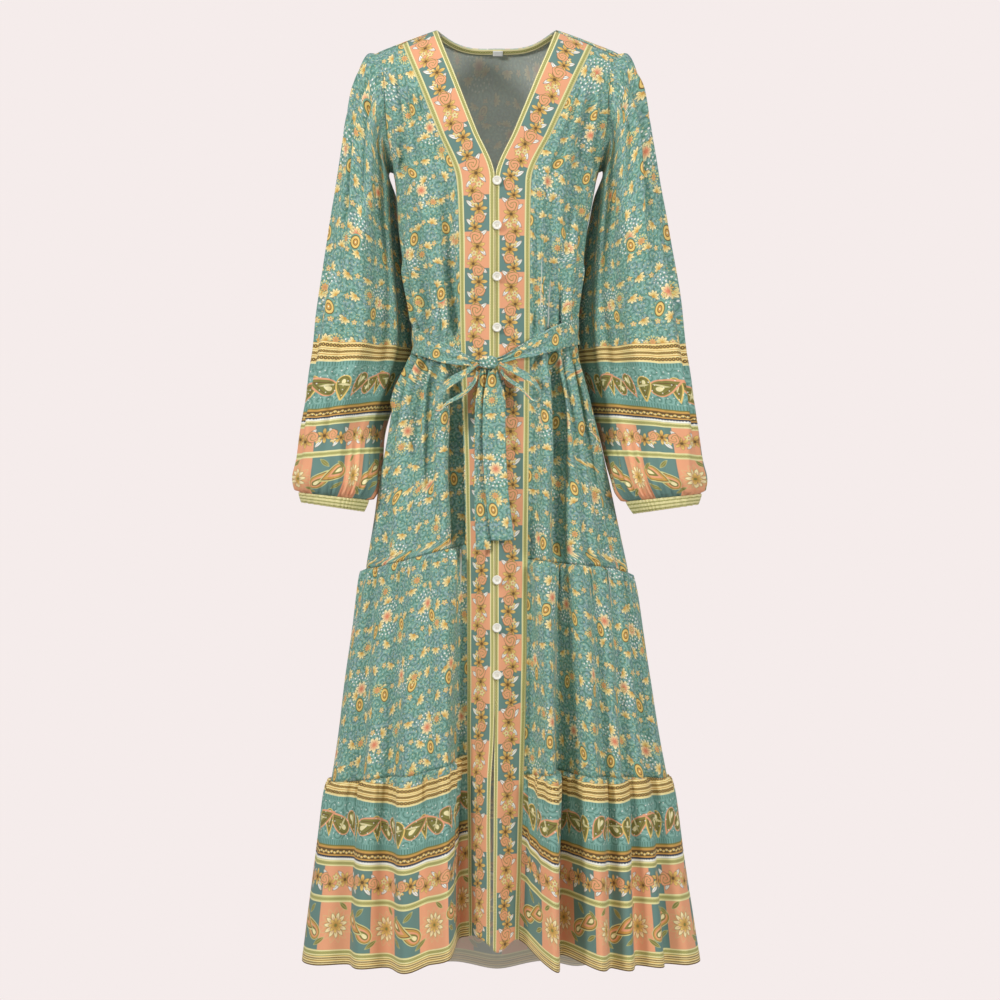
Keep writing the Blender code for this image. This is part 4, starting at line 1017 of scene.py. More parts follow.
@grouped
def ground(colour, u, v):
    """The ground with its dark vines and pale specks."""
    colour = over(colour, TEAL_BLUE, inside(noise(u, v, 0.05) - 0.5, 0.15))
    colour = over(colour, TEAL_GREEN, inside(noise(u, v, 0.2) - 0.54, 0.15) * 0.8)
    curl, _ = spirals(u, v, 12.5, 6.2)
    colour = over(colour, VINE, inside(curl - 0.66, 0.5) * 0.8)
    colour = over(colour, PALE, inside(-0.78 - curl, 0.3) * 0.5)
    curl, _ = spirals(u, v, 7.7, 5.6, seed=7.3)
    colour = over(colour, VINE, inside(curl - 0.78, 0.4) * 0.6)
    _, r = spirals(u, v, 6.3, 30.0, seed=3.1)
    return over(colour, BEAD, inside(0.75 - r, 0.5) * 0.75)


@grouped
def all_over(colour, u, v):
    """The all-over print: fans, rosettes, golden ovals and dotted buds on the ground."""
    colour = ground(colour, u, v)
    x, y, _ = lattice(u, v, 92.0, 84.0, shift=(23.0, 61.0), jitter=8.0)
    colour = dotted_arcs(colour, x, y)
    colour = petals(colour, x, y + 2.0, size=10.5, count=7, spread=4.0, fill=PEACH, tip=CREAM, heart=ROSE,
                    width=0.26)
    x, y, rnd = lattice(u, v, 31.0, 30.0, jitter=7.0)
    colour = petals(colour, *turned(x, y + 1.5, rnd[2] * 6.28), size=8.6, count=9, spread=1.75, width=0.2)
    x, y, _ = lattice(u, v, 31.0, 30.0, shift=(15.5, 4.0), jitter=6.0)
    colour = petals(colour, x, y, size=3.9, count=5, width=0.3, fill=CREAM, tip=GOLD, heart=ROSE)
    x, y, rnd = lattice(u, v, 62.0, 90.0, shift=(20.0, 21.0), jitter=5.0)
    colour = ovals(colour, *turned(x, y, (rnd[2] - 0.5) * 0.9))
    x, y, _ = lattice(u, v, 78.0, 66.0, shift=(61.0, 44.0), jitter=4.0)
    r, turn = polar(x, y)
    ring = inside(1.3 - calc("ABSOLUTE", r - 7.4), 0.5) * inside(calc("SINE", turn * 14.0) + 0.1, 0.6)
    colour = over(colour, BEAD, ring)
    return petals(colour, x, y, size=5.4, count=8, width=0.2, fill=PEACH, tip=GOLD)


@grouped
def bead_trim(colour, u, y, width=8.0, base=None, ring=None, rim=None, pitch=3.7):
    """A narrow trim: small rings in a row between two light lines."""
    here = inside(width / 2 - calc("ABSOLUTE", y), 0.3)
    x = repeat(u, pitch)
    r = calc("SQRT", x * x + y * y)
    tint = over(base or BEAD, ring or MOSS, inside(pitch * 0.17 - calc("ABSOLUTE", r - pitch * 0.33), 0.4))
    edge = calc("ABSOLUTE", calc("ABSOLUTE", y) - width / 2 + 0.9)
    return over(colour, over(tint, rim or CREAM, inside(0.45 - edge, 0.3)), here)


# Each block of a band and of the border is this long, in mm.
BLOCK_LENGTH = 50.8
GARLAND = (
    # mm along and across, what it is, its size and its turn
    (6, 8.5, "leaf", 15, 0.7), (14, -9.0, "leaf", 14, -0.6), (30, 8.0, "leaf", 16, 2.2),
    (37, -8.5, "leaf", 14, 0.9), (56, 9.0, "leaf", 15, -0.7), (66, -8.0, "leaf", 16, 2.4),
    (83, 8.5, "leaf", 14, 0.5), (92, -9.0, "leaf", 15, -0.8), (24, 1.5, "lily", 11, 0.4),
    (48, -4.5, "lily", 10, 2.0), (73, 3.5, "lily", 11.5, 1.1), (99, -2.0, "lily", 10, 0.2),
    (39, 4.5, "blossom", 6, 0.0), (33, -3.5, "blossom", 5.5, 0.5), (64, -2.0, "blossom", 6, 0.3),
    (87, -4.0, "blossom", 5.5, 0.8), (11, 0.0, "rose", 9.6, 0.0), (57, 2.5, "rose", 8.4, 0.0),
    (86, 4.5, "rose", 7.6, 0.0),
)
GARLAND_FLOWERS = {
    "lily": {"count": 6, "width": 0.2, "fill": OCHRE, "tip": GOLD, "heart": BROWN},
    "blossom": {"count": 5, "width": 0.3, "fill": CREAM, "tip": GOLD, "heart": ROSE},
}


@grouped
def garland(colour, along, across, seed=0.0):
    """A chain of roses, lilies, small blossoms and pale leaves about 30 mm wide."""
    for at, off, kind, size, turn in GARLAND:
        x, y = repeat(along, 2 * BLOCK_LENGTH, BLOCK_LENGTH - at + seed), across - off
        if kind == "leaf":
            colour = leaf(colour, *turned(x, y, turn), length=size, width=5.0)
        elif kind in GARLAND_FLOWERS:
            colour = petals(colour, *turned(x, y, turn), size=size, **GARLAND_FLOWERS[kind])
        else:
            colour = rose(colour, x, y, size=size)
    return colour


def blocks(along, length=BLOCK_LENGTH):
    """1 on every second block along a band."""
    f = along / (2 * length)
    return inside(0.5 - (f - calc("FLOOR", f)), 0.006)


BORDER_STRIPES = (
    # mm above the hem where each stripe begins, and its colour
    (0, BROWN), (1.6, GOLD), (6.2, BROWN), (7.6, GOLD), (12.4, OLIVE), (13.6, BEAD), (21.0, BLOCK),
    (134, BEAD), (142.4, WHITE), (144.6, NAVY), (147.6, OCHRE), (149.2, BROWN), (156.6, OCHRE),
    (160.4, OLIVE), (162.0, TEAL), (226.0, CREAM), (227.0, OCHRE),
)
BORDER_TOP = 252.0
# The fine gold rows at the border's top and at the hem: mm above the hem, width and pitch.
GOLD_ROWS = ((231.2, 7.6, 4.4), (239.2, 6.8, 3.2), (247.2, 8.4, 4.4), (3.9, 4.6, 3.2), (10.0, 4.6, 3.2))
PAISLEYS = (
    # mm along, mm from the middle of the teal band, size, turn, bend, and the outer colour
    (10, -3.0, 15.5, -0.5, 1.0, PEACH), (33, 2.0, 12.0, 2.5, -1.0, GOLD),
    (54, 1.0, 16.0, 0.7, -0.9, PEACH), (78, -2.0, 13.0, 3.6, 0.9, GOLD),
    (98, 3.0, 12.5, 2.2, -1.0, PEACH),
)
SPRAYS = (
    # mm along, mm above the hem, the leaf's length and turn
    (50, 33, 20, 1.0), (69, 76, 18, 0.8), (92, 40, 20, -1.0), (15, 80, 16, -0.9), (96, 72, 15, 0.9),
)


def stripes(height, rows, top):
    tree, share = height.tree, height / top
    node = tree.nodes.new("ShaderNodeValToRGB")
    ramp = node.color_ramp
    ramp.interpolation = "CONSTANT"
    while len(ramp.elements) < len(rows):
        ramp.elements.new(1.0)
    for element, (start, colour) in zip(ramp.elements, rows):
        element.position, element.color = start / top, colour
    plug(tree, node.inputs[0], share)
    return Node(tree, node.outputs[0])


def beads(colour, u, y, pitch, size, tint):
    x = repeat(u, pitch)
    return over(colour, tint, inside(size - calc("SQRT", x * x + y * y), 0.5))


@grouped
def hem_band(colour, u, v):
    """Rosettes, paisleys and sprays in the band over the hem."""
    x, y = repeat(u, 2 * BLOCK_LENGTH, BLOCK_LENGTH / 2), v - 54.0
    colour = petals(colour, x, y, size=24.0, count=13, width=0.13, fill=OCHRE, tip=PEACH, line=BEAD)
    colour = petals(colour, *turned(x, y, 0.2), size=17.5, count=11, width=0.15, fill=PEACH, tip=CREAM)
    colour = petals(colour, x, y, size=10.5, count=8, width=0.2, fill=OCHRE, tip=GOLD, heart=OLIVE)
    layers = ((1.12, BEAD), (1.0, BROWN), (0.92, OCHRE), (0.7, PEACH), (0.5, OLIVE), (0.3, CREAM))
    for along, rise, lean in ((-14.0, 51.0, -0.5), (14.0, 58.0, 2.5)):
        a, b = turned(repeat(u, 2 * BLOCK_LENGTH, 76.2 - along), v - rise, lean)
        colour = drop_motif(colour, a, b, size=16.5, bend=0.9, layers=layers)
    for along, rise, length, lean in SPRAYS:
        a, b = turned(repeat(u, 2 * BLOCK_LENGTH, BLOCK_LENGTH - along), v - rise, lean)
        colour = leaf(colour, a, b, length=length, width=5.6, fill=OLIVE, line=BEAD)
    return colour


@grouped
def teal_band(colour, u, v):
    """Olive and peach paisleys between curls, with v from the middle of the band."""
    curl, _ = spirals(u, v, 14.0, 6.4, seed=5.0)
    colour = over(colour, VINE, inside(curl - 0.66, 0.5) * 0.75)
    colour = over(colour, PALE, inside(-0.86 - curl, 0.3) * 0.5)
    for along, rise, size, lean, bend, rim in PAISLEYS:
        layers = ((1.18, rim), (1.0, OLIVE), (0.78, BROWN), (0.7, OLIVE), (0.34, CREAM))
        a, b = turned(repeat(u, 108.0, 54.0 - along), v - rise, lean)
        colour = drop_motif(colour, a, b, size=size, bend=bend, layers=layers)
        colour = leaf(colour, *turned(a, b, 0.9), length=size * 1.5, width=2.6, fill=CREAM, line=OLIVE)
    x, y, _ = lattice(u, v, 9.5, 9.5, shift=(2.0, 3.0), jitter=6.0)
    return over(colour, WHITE, inside(0.8 - calc("SQRT", x * x + y * y), 0.5) * 0.85)


@grouped
def border(colour, u, v):
    """The border of the lower tier and the sleeves, by the height above the hem, over the print."""
    made = stripes(v, BORDER_STRIPES, BORDER_TOP)
    low = inside(v - 21.0, 0.3) * inside(134.0 - v, 0.3)
    made = over(made, PEACH, low * blocks(u))
    made = hem_band(made, u, v)
    made = bead_trim(made, u, v - 17.3, width=7.6)
    made = bead_trim(made, u, v - 90.0, width=9.5)
    flowers = garland(made, u, v - 114.5, seed=8.0)
    made = over(made, flowers, inside(v - 94.5, 0.3) * inside(134.0 - v, 0.3))
    made = bead_trim(made, u, v - 138.0, width=8.0)
    # The zigzag, the gold wave and the comb.
    saw = calc("PINGPONG", u, 1.9)
    made = over(made, WHITE, inside(v - 142.4, 0.3) * inside(144.2 + saw - v, 0.4))
    wave = calc("ABSOLUTE", v - 152.9 - calc("SINE", u * 0.62) * 1.7)
    made = over(made, GOLD, inside(0.8 - wave, 0.4))
    made = beads(made, u, v - 152.9, 5.07, 0.9, CREAM)
    flowers = teal_band(made, u, v - 195.0)
    made = over(made, flowers, inside(v - 170.0, 0.4) * inside(220.0 - v, 0.4))
    comb = inside(0.7 - calc("ABSOLUTE", repeat(u, 3.6)), 0.4) * 0.8
    made = over(made, VINE, comb * inside(v - 162.0, 0.3) * inside(169.0 - v, 0.5))
    made = over(made, VINE, comb * inside(v - 221.0, 0.3) * inside(226.0 - v, 0.5))
    for rise, width, pitch in GOLD_ROWS:
        made = bead_trim(made, u, v - rise, width=width, base=GOLD, ring=BROWN, rim=CREAM, pitch=pitch)
    return over(colour, made, inside(BORDER_TOP - v, 0.3))


BAND_LENGTHS = {"width": 50.0, "outer_trim": 8.6, "inner_trim": 6.4}


@grouped
def band_print(colour, u, v):
    """The front bands: u in mm from the outer edge, v in mm along with 0 at a block's start."""
    width, outer, inner = BAND_LENGTHS["width"], BAND_LENGTHS["outer_trim"], BAND_LENGTHS["inner_trim"]
    colour = over(colour, PEACH, blocks(v))
    colour = garland(colour, v, u - (outer + width - inner) / 2, seed=3.0)
    colour = bead_trim(colour, v, u - outer / 2, width=outer)
    return bead_trim(colour, v, u - width + inner / 2, width=inner)


@grouped
def trim_print(colour, u, v):
    return bead_trim(colour, u, repeat(v, 5.0), width=5.0)


@grouped
def bordered(colour, u, v):
    return border(all_over(colour, u, v), u, v)


def cloth_material(name, paint, ground_colour, worn=0.0):
    """A soft woven cloth with a print; the wrong side is paler and greyer."""
    made = bpy.data.materials.new(name)
    made.use_nodes = True
    tree = made.node_tree
    shader = tree.nodes["Principled BSDF"]
    uv = tree.nodes.new("ShaderNodeUVMap")
    uv.uv_map = "UVMap"
    split = tree.nodes.new("ShaderNodeSeparateXYZ")
    tree.links.new(uv.outputs[0], split.inputs[0])
    u, v = (Node(tree, split.outputs[i]) * 1000.0 for i in range(2))
    colour = paint(ground_colour, u, v)
    if worn:
        colour = over(colour, WRONG_SIDE, worn)
    weave = calc("SINE", u * 9.0) * 0.5 + calc("SINE", v * 9.0) * 0.5 + noise(u, v, 1.3, 3.0) * 1.4
    bump = tree.nodes.new("ShaderNodeBump")
    bump.inputs["Strength"].default_value = 0.22
    bump.inputs["Distance"].default_value = 0.0006
    plug(tree, bump.inputs["Height"], weave * 0.35 + noise(u, v, 0.16, 3.0) * 1.6)
    tree.links.new(bump.outputs[0], shader.inputs["Normal"])
    plug(tree, shader.inputs["Base Color"], colour)
    shader.inputs["Roughness"].default_value = 0.82
    shader.inputs["Specular IOR Level"].default_value = 0.25
    shader.inputs["Sheen Weight"].default_value = 0.10
    shader.inputs["Sheen Roughness"].default_value = 0.5
    return made


def plain_material(name, colour, rough=0.8, specular=0.3):
    made = bpy.data.materials.new(name)
    made.use_nodes = True
    shader = made.node_tree.nodes["Principled BSDF"]
    shader.inputs["Base Color"].default_value = colour
    shader.inputs["Roughness"].default_value = rough
    shader.inputs["Specular IOR Level"].default_value = specular
    return made


PRINT = cloth_material("print", all_over, TEAL)
PRINT_BACK = cloth_material("print_wrong_side", all_over, TEAL, worn=0.72)
BORDER = cloth_material("border", bordered, TEAL)
BORDER_BACK = cloth_material("border_wrong_side", bordered, TEAL, worn=0.6)
BAND = cloth_material("band", band_print, BLOCK)
BAND_BACK = cloth_material("band_wrong_side", band_print, BLOCK, worn=0.6)
TRIM = cloth_material("trim", trim_print, BEAD)
LABEL_CLOTH = plain_material("label_tape", linear(236, 236, 232))
BUTTON = plain_material("button_shell", linear(240, 236, 224), rough=0.28, specular=0.5)
THREAD = plain_material("button_thread", linear(222, 216, 196))


# ---- panels ----


def fold_steps(part):
    """Fold coordinates of a panel's columns, even along the folded cloth at one level."""
    fine = np.linspace(0.0, 1.0, 2001)
    points = surface(part, fine, reach_at(part, fine, np.full_like(fine, COLUMN_DROP)))
    length = run_length(points[None], 1)[0]
    places = np.interp(np.linspace(0, length[-1], COLUMN_COUNT[part] + 1), length, fine)
    marks = fold_marks(part, COLUMN_DROP)
    return np.interp(places, marks, range(len(marks)))


def fold_marks(part, drop):
    rows = [row for row in FOLDS[part] if row[0] <= 100]
    return [float(curve(metres(FOLD_PLACE_DROPS), [v / 100 for v in row[:4]], drop)) for row in rows]


def follow_folds(part, steps, drop):
    marks = fold_marks(part, drop)
    return np.interp(steps, range(len(marks)), marks)


def top_places(part):
    """Places along the shoulder, closer together where the back neck turns down."""
    columns = COLUMN_COUNT[part]
    if part != "back":
        return np.linspace(0.0, 1.0, columns + 1)
    edge = float(seam_angle(0.0))
    ends = [0.5 + 0.5 * float(angle_of(x, -ridge(x))) / edge for x in (-NECK_HALF, NECK_HALF)]
    shoulder = columns // 4
    turn = 0.5 - 0.5 * np.cos(np.linspace(0, math.pi, columns - 2 * shoulder + 1))
    left = np.linspace(0.0, ends[0], shoulder + 1)[:-1]
    right = np.linspace(ends[1], 1.0, shoulder + 1)[1:]
    return np.concatenate([left, ends[0] + (ends[1] - ends[0]) * turn, right])


def back_top(place):
    """Reach of the back's top edge: forward of the ridge on the shoulders, low at the neck."""
    edge = float(seam_angle(0.0))
    x = half_width(np.array(0.0), 0.0) * np.sin((2 * place - 1) * edge)
    seam = np.where(place < 0.5, SHOULDER_SEAM["left"], SHOULDER_SEAM["right"])
    neck = 1 - np.clip(np.abs(x) / NECK_HALF, 0, 1) ** NECK_SQUARE
    return -seam + (BACK_NECK + seam) * np.sqrt(neck)


def facing(part, grid):
    return normals(grid) * (-1.0 if part == "left" else 1.0)


def edge_runs(grid):
    """Ways from the left, the right, the top and the bottom edge of a grid of points."""
    across, down = run_length(grid, 1), run_length(grid, 0)
    return across, across[:, -1:] - across, down, down[-1:] - down


def upper_grid(part):
    steps, top = fold_steps(part), top_places(part)
    head = back_top(top) if part == "back" else np.full_like(top, SHOULDER_SEAM[part])
    places, reaches = [], []
    for f in np.linspace(0.0, 1.0, UPPER_ROW_COUNT):
        drop = TIER_LEVELS["tier_1"][0] * f
        mix = fade(drop, FOLLOW_FROM)
        place = top * (1 - mix) + follow_folds(part, steps, drop) * mix
        places.append(place)
        reaches.append(head + (seam_reach(part, place, "tier_1") - head) * f)
    return np.array(places), np.array(reaches)


def make_upper(part, name):
    """A front or the back, from the shoulder to the first tier."""
    places, reaches = upper_grid(part)
    base = surface(part, places, reaches)
    out = facing(part, base)
    left, right, top, bottom = edge_runs(base)
    guard = smooth(left / SIDE_GUARD) * smooth(right / SIDE_GUARD) * smooth(top / TOP_GUARD)
    guard = guard * smooth(bottom / LOW_GUARD)
    lift = creased(part, places, -base[..., 2]) * guard
    lift = lift + rolled((left, right, bottom) if part == "back" else (left, right, top, bottom))
    grid = base + out * lift[..., None]
    out = facing(part, grid)
    length = run_length(grid, 1)
    middle = length.shape[1] // 2
    across = length - length[:, middle:middle + 1] if part == "back" else length[:, -1:] - length
    uv = np.stack([across + UV_SHIFT[part], reaches], -1)
    obj = shell(name, grid, out, uv, PRINT, PRINT_BACK)
    settle(obj, name)


def make_tier(part, tier, name):
    """One part of a tier, gathered under the seam above it."""
    top_seam, low_seam = {"tier_1": ("tier_1", "tier_2"), "tier_2": ("tier_2", "hem")}[tier]
    levels = TIER_LEVELS[tier]
    steps = fold_steps(part)
    places, reaches = [], []
    for f in np.linspace(0.0, 1.0, TIER_ROW_COUNT[tier]):
        place = follow_folds(part, steps, levels[0] + (levels[1] - levels[0]) * f)
        top, bottom = (seam_reach(part, place, seam) for seam in (top_seam, low_seam))
        places.append(place)
        reaches.append(top + (bottom - top) * f)
    places, reaches = np.array(places), np.array(reaches)
    base = surface(part, places, reaches)
    out = facing(part, base)
    left, right, top, bottom = edge_runs(base)
    down = reaches - reaches[0]
    sides = smooth(left / LOW_GUARD) * smooth(right / LOW_GUARD)
    left_over = 1 - down / down[-1]
    puff = PUFF_HEIGHT * (1 - np.exp(-down / PUFF_RUN)) * left_over**2
    pleats = pleated(np.broadcast_to(left[0], down.shape), down, FIRST_PLEAT[part])
    lift = (puff + pleats) * sides + rolled((left, right))
    grid = base + out * lift[..., None]
    out = facing(part, grid)
    across = run_length(grid, 1)[-1]
    across = across - across[-1] / 2 if part == "back" else across[-1] - across
    height = down[-1] - down if tier == "tier_2" else reaches
    uv = np.stack([np.broadcast_to(across, down.shape) + UV_SHIFT[part], height], -1)
    thick = SHELL + HEM_EXTRA * smooth((HEM_TURN - bottom) / HEM_STEP) if tier == "tier_2" else None
    front, back = (BORDER, BORDER_BACK) if tier == "tier_2" else (PRINT, PRINT_BACK)
    obj = shell(name, grid, out, uv, front, back, thick)
    settle(obj, name)


def make_band(part, name):
    """A front band from the shoulder to the hem, the right one lapping under the left."""
    even = np.linspace(1.0, 2.0, BAND_COLUMN_COUNT + 1)
    shift = np.interp(even, BAND_COLUMNS, UNDERLAP_SHARE)
    places, reaches = [], []
    for f in np.linspace(0.0, 1.0, BAND_ROW_COUNT):
        place = even
        for _ in range(2):
            reach = SHOULDER_SEAM[part] + (seam_reach(part, place, "hem") - SHOULDER_SEAM[part]) * f
            drop = float(reach.mean()) - RIDGE_TOP
            under = 0.0
            if part == "right":
                under = float(fade(drop, UNDERLAP_FROM) * smooth((UNDERLAP_TO[0] - drop) / UNDERLAP_TO[1]))
            place = even + UNDERLAP * under * shift
        places.append(place)
        reaches.append(reach)
    places, reaches = np.array(places), np.array(reaches)
    base = surface(part, places, reaches)
    out = facing(part, base)
    side = 1.0 if part == "left" else -1.0
    lift = BAND_LIFT * side * smooth((places - 1.0) / LIFT_PLACES) * fade(-base[..., 2], LIFT_FROM)
    left, right, top, bottom = edge_runs(base)
    lift = lift + rolled((left, top)) + 0.0004 * np.sin(reaches * 61 + places * 3) * smooth(left / 0.01)
    grid = base + out * lift[..., None]
    out = facing(part, grid)
    middle = BAND_COLUMN_COUNT // 2
    line = grid[:, middle]
    along = run_length(line[:, None], 0)[:, 0]
    tangent = unit(np.gradient(line, axis=0))
    start = np.interp(BLOCK_START[part], -line[:, 2], along)
    v = (along - start)[:, None] + ((grid - line[:, None]) * tangent[:, None]).sum(-1)
    uv = np.stack([(places - 1.0) * BAND_LENGTHS["width"] * MM, v], -1)
    thick = SHELL + BAND_EXTRA + HEM_EXTRA * smooth((HEM_TURN - bottom) / HEM_STEP)
    obj = shell(name, grid, out, uv, BAND, BAND_BACK, thick)
    settle(obj, name)


# ---- sleeves ----


def sleeve_fold(degrees, along):
    """Height of a sleeve's folds by the angle round it and the way down it."""
    degrees = np.mod(degrees, 360.0)
    knots = [row[0] for row in SLEEVE_FOLDS]
    heights = [float(curve(SLEEVE_FOLD_ALONG, [h * MM for h in row[1:]], along)) for row in SLEEVE_FOLDS]
    i = np.clip(np.searchsorted(knots, degrees, side="right") - 1, 0, len(knots) - 2)
    low, high = np.take(knots, i), np.take(knots, i + 1)
    f = smooth((degrees - low) / (high - low))
    return np.take(heights, i) * (1 - f) + np.take(heights, i + 1) * f


def oval(outer, inner, depth, centre_y, inner_y, degrees, height):
    """A ring through an outer and an inner point, (x, drop), with folds raised on it."""
    turn = np.radians(degrees)
    centre, half = (outer + inner) / 2, (outer - inner) / 2
    reach = np.linalg.norm(half)
    cross = np.cos(turn) / reach
    ahead = -np.sin(turn) / depth
    size = np.sqrt(cross**2 + ahead**2)
    lift = height * cross / size / reach
    x = centre[0] + half[0] * (np.cos(turn) + lift)
    drop = centre[1] + half[1] * (np.cos(turn) + lift)
    y = centre_y - depth * np.sin(turn) + inner_y * (1 - np.cos(turn)) / 2 + height * ahead / size
    return np.stack([x, y, -drop], -1)


def sleeve_ring(side, along, degrees):
    table = SLEEVES[side]
    names = [name for name in table if name != "along"]
    at = {name: float(curve(table["along"], metres(table[name]), along)) for name in names}
    outer = np.array([at["outer_x"], at["outer_drop"]])
    inner = np.array([at["inner_x"], at["inner_drop"]])
    height = sleeve_fold(degrees, along)
    return oval(outer, inner, at["depth"], at["centre_y"], at["inner_y"], degrees, height)


def split_between(values):
    values = np.asarray(values, float)
    return np.interp(np.arange(2 * len(values) - 1) / 2, range(len(values)), values)


def armhole_loop(side):
    """The armhole's edge, down the front and up the back, with its degrees there and lower down."""
    count = SLEEVE_COLUMN_COUNT // 2
    seam = SHOULDER_SEAM[side]
    knots = split_between((seam, *ARMHOLE_ROWS))
    front_at = np.interp(np.linspace(0, 1, count + 1), (knots - seam) / (UNDERARM - seam), knots)
    back_knots = split_between((-seam, (BACK_ROWS[0] - seam) / 2, *BACK_ROWS, *ARMHOLE_ROWS[1:]))
    back_at = np.linspace(UNDERARM, -seam, count + 1)
    front = surface(side, 0.0, front_at)
    back = surface("back", 0.0 if side == "left" else 1.0, back_at)
    far = np.array([*SLEEVE_COLUMNS, 360.0])
    half = len(knots) - 1
    low_front = np.interp(front_at, knots, far[:half + 1])
    low_back = np.interp(-back_at, -back_knots[::-1], far[half:])
    loop = np.concatenate([front[:-1], back[:-1]])
    head = np.concatenate([np.linspace(0, 180, count + 1)[:-1], np.linspace(180, 360, count + 1)[:-1]])
    return loop, head, np.concatenate([low_front[:-1], low_back[:-1]])


def sleeve_creased(degrees, along):
    total = np.zeros_like(degrees)
    for from_at, from_along, to_at, to_along, height, width in SLEEVE_CREASES:
        f = (along - from_along) / (to_along - from_along)
        middle = from_at + (to_at - from_at) * f
        off = np.mod(degrees - middle - 3 * np.sin(along * 0.19 + from_at) + 180, 360) - 180
        crease = SLEEVE_CREASE_DEPTH * height * MM * np.exp(-(off * 1.15 / width) ** 2)
        total += crease * smooth(f / 0.25) * smooth((1 - f) / 0.2)
    return total


def make_sleeve(side):
    """A sleeve from the armhole to the cuff, and its cuff."""
    loop, head, low = armhole_loop(side)
    rows, angles = [], []
    fractions = 0.5 - 0.5 * np.cos(np.linspace(0, math.pi, SLEEVE_ROW_COUNT))
    fractions = 0.45 * fractions + 0.55 * np.linspace(0, 1, SLEEVE_ROW_COUNT)
    for f in fractions:
        mix = float(smooth(f / SLEEVE_BLEND))
        degrees = head * (1 - mix) + low * mix
        rows.append(sleeve_ring(side, 100 * f, degrees) + (1 - mix) * (loop - sleeve_ring(side, 0, head)))
        angles.append(degrees)
    base, angles = np.array(rows), np.array(angles)
    sign = -1.0 if side == "left" else 1.0
    out = tube_normals(base) * sign
    share = np.array(fractions)[:, None] * np.ones_like(angles)
    down = run_length(base, 0)
    up = down[-1:] - down
    around = np.broadcast_to(np.linspace(0, SLEEVE_ROUND, SLEEVE_COLUMN_COUNT, endpoint=False), angles.shape)
    near_top = smooth((100 - np.abs(np.mod(angles + 180, 360) - 180)) / 40)
    gathers = pleated(around, down, 3) * 0.9 * near_top * smooth((0.22 - down) / 0.12)
    cuff = pleated(around, up, 6) * 0.9 * smooth((0.16 - up) / 0.1)
    puff = 0.004 * np.exp(-((up - 0.022) / 0.018) ** 2)
    guard = smooth(down / 0.012) * smooth(up / 0.006)
    lift = (sleeve_creased(angles, share * 100) + gathers + cuff + puff) * guard
    lift = lift - SEAM_ROLL * np.exp(-down / SEAM_ROLL_RUN)
    grid = base + out * lift[..., None]
    out = tube_normals(grid) * sign
    columns = np.linspace(0, SLEEVE_PRINT_ROUND, SLEEVE_COLUMN_COUNT + 1)
    height = up.mean(axis=1, keepdims=True) + CUFF_TO_BORDER
    uv = np.stack(np.broadcast_arrays(columns[None], height), -1)
    obj = shell(f"sleeve_{side}", grid, out, uv, BORDER, BORDER_BACK, tube=True)
    settle(obj, f"sleeve_{side}")
    make_cuff(side, base[-1], low, sign)


def make_cuff(side, top, degrees, sign):
    """The gathered cuff, from the sleeve's last ring to the cuff's lower edge."""
    edge = CUFF_BOTTOM[side]
    outer, inner = metres(edge["outer"]), metres(edge["inner"])
    final = oval(outer, inner, edge["depth"] * MM, CUFF_CENTRE_Y, 0.0, degrees, 0.0)
    f = np.linspace(0, 1, CUFF_ROW_COUNT)[:, None, None]
    ring = top + (final - top) * f
    out = tube_normals(ring) * sign
    columns = np.arange(SLEEVE_COLUMN_COUNT)
    wave = np.cos(columns * 2 * math.pi * CUFF_WAVES / SLEEVE_COLUMN_COUNT + 0.7 * np.sin(columns * 0.23))
    depth = CUFF_WAVE_HEIGHT * wave[None, :] * (0.75 + 0.25 * np.cos(f[..., 0] * 2 * math.pi))
    swell = CUFF_SWELL * np.sin(f[..., 0] * math.pi)
    ring = ring + out * (depth + swell)[..., None]
    out = tube_normals(ring) * sign
    around = np.linspace(0, CUFF_ROUND, SLEEVE_COLUMN_COUNT + 1)[None]
    uv = np.stack(np.broadcast_arrays(around, CUFF_TALL * (1 - f[..., 0])), -1)
    obj = shell(f"cuff_{side}", ring, out, uv, TRIM, TRIM, np.full(ring.shape[:2], CUFF_THICK), tube=True)
    settle(obj, f"cuff_{side}")


# ---- neck, belt and buttons ----


def neck_line(count):
    """The back neckline's points with the directions out and down the cloth."""
    half = NECK_HALF - BINDING_WIDTH
    edge = float(seam_angle(0.0))
    top = np.linspace(0.0, 1.0, 4001)
    head = back_top(top)
    line = surface("back", top, head)
    keep = np.abs(line[:, 0]) < half
    length = run_length(line[keep][None], 1)[0]
    place = np.interp(np.linspace(0, length[-1], count), length, top[keep])
    head = back_top(place)
    line = surface("back", place, head)
    below = surface("back", place, head + 0.004)
    aside = surface("back", place + 0.002, head)
    out = unit(np.cross(aside - line, below - line))
    along = unit(np.gradient(line, axis=0))
    down = np.cross(along, out)
    down *= np.sign((down * (below - line)).sum(-1, keepdims=True))
    return line, out * np.sign(out[..., 1:2]), unit(down)


def neck_strip(line, out, down, steps, off):
    return np.array([line + down * s - out * (off + s * s / (2 * NECK_CURVE)) for s in steps])


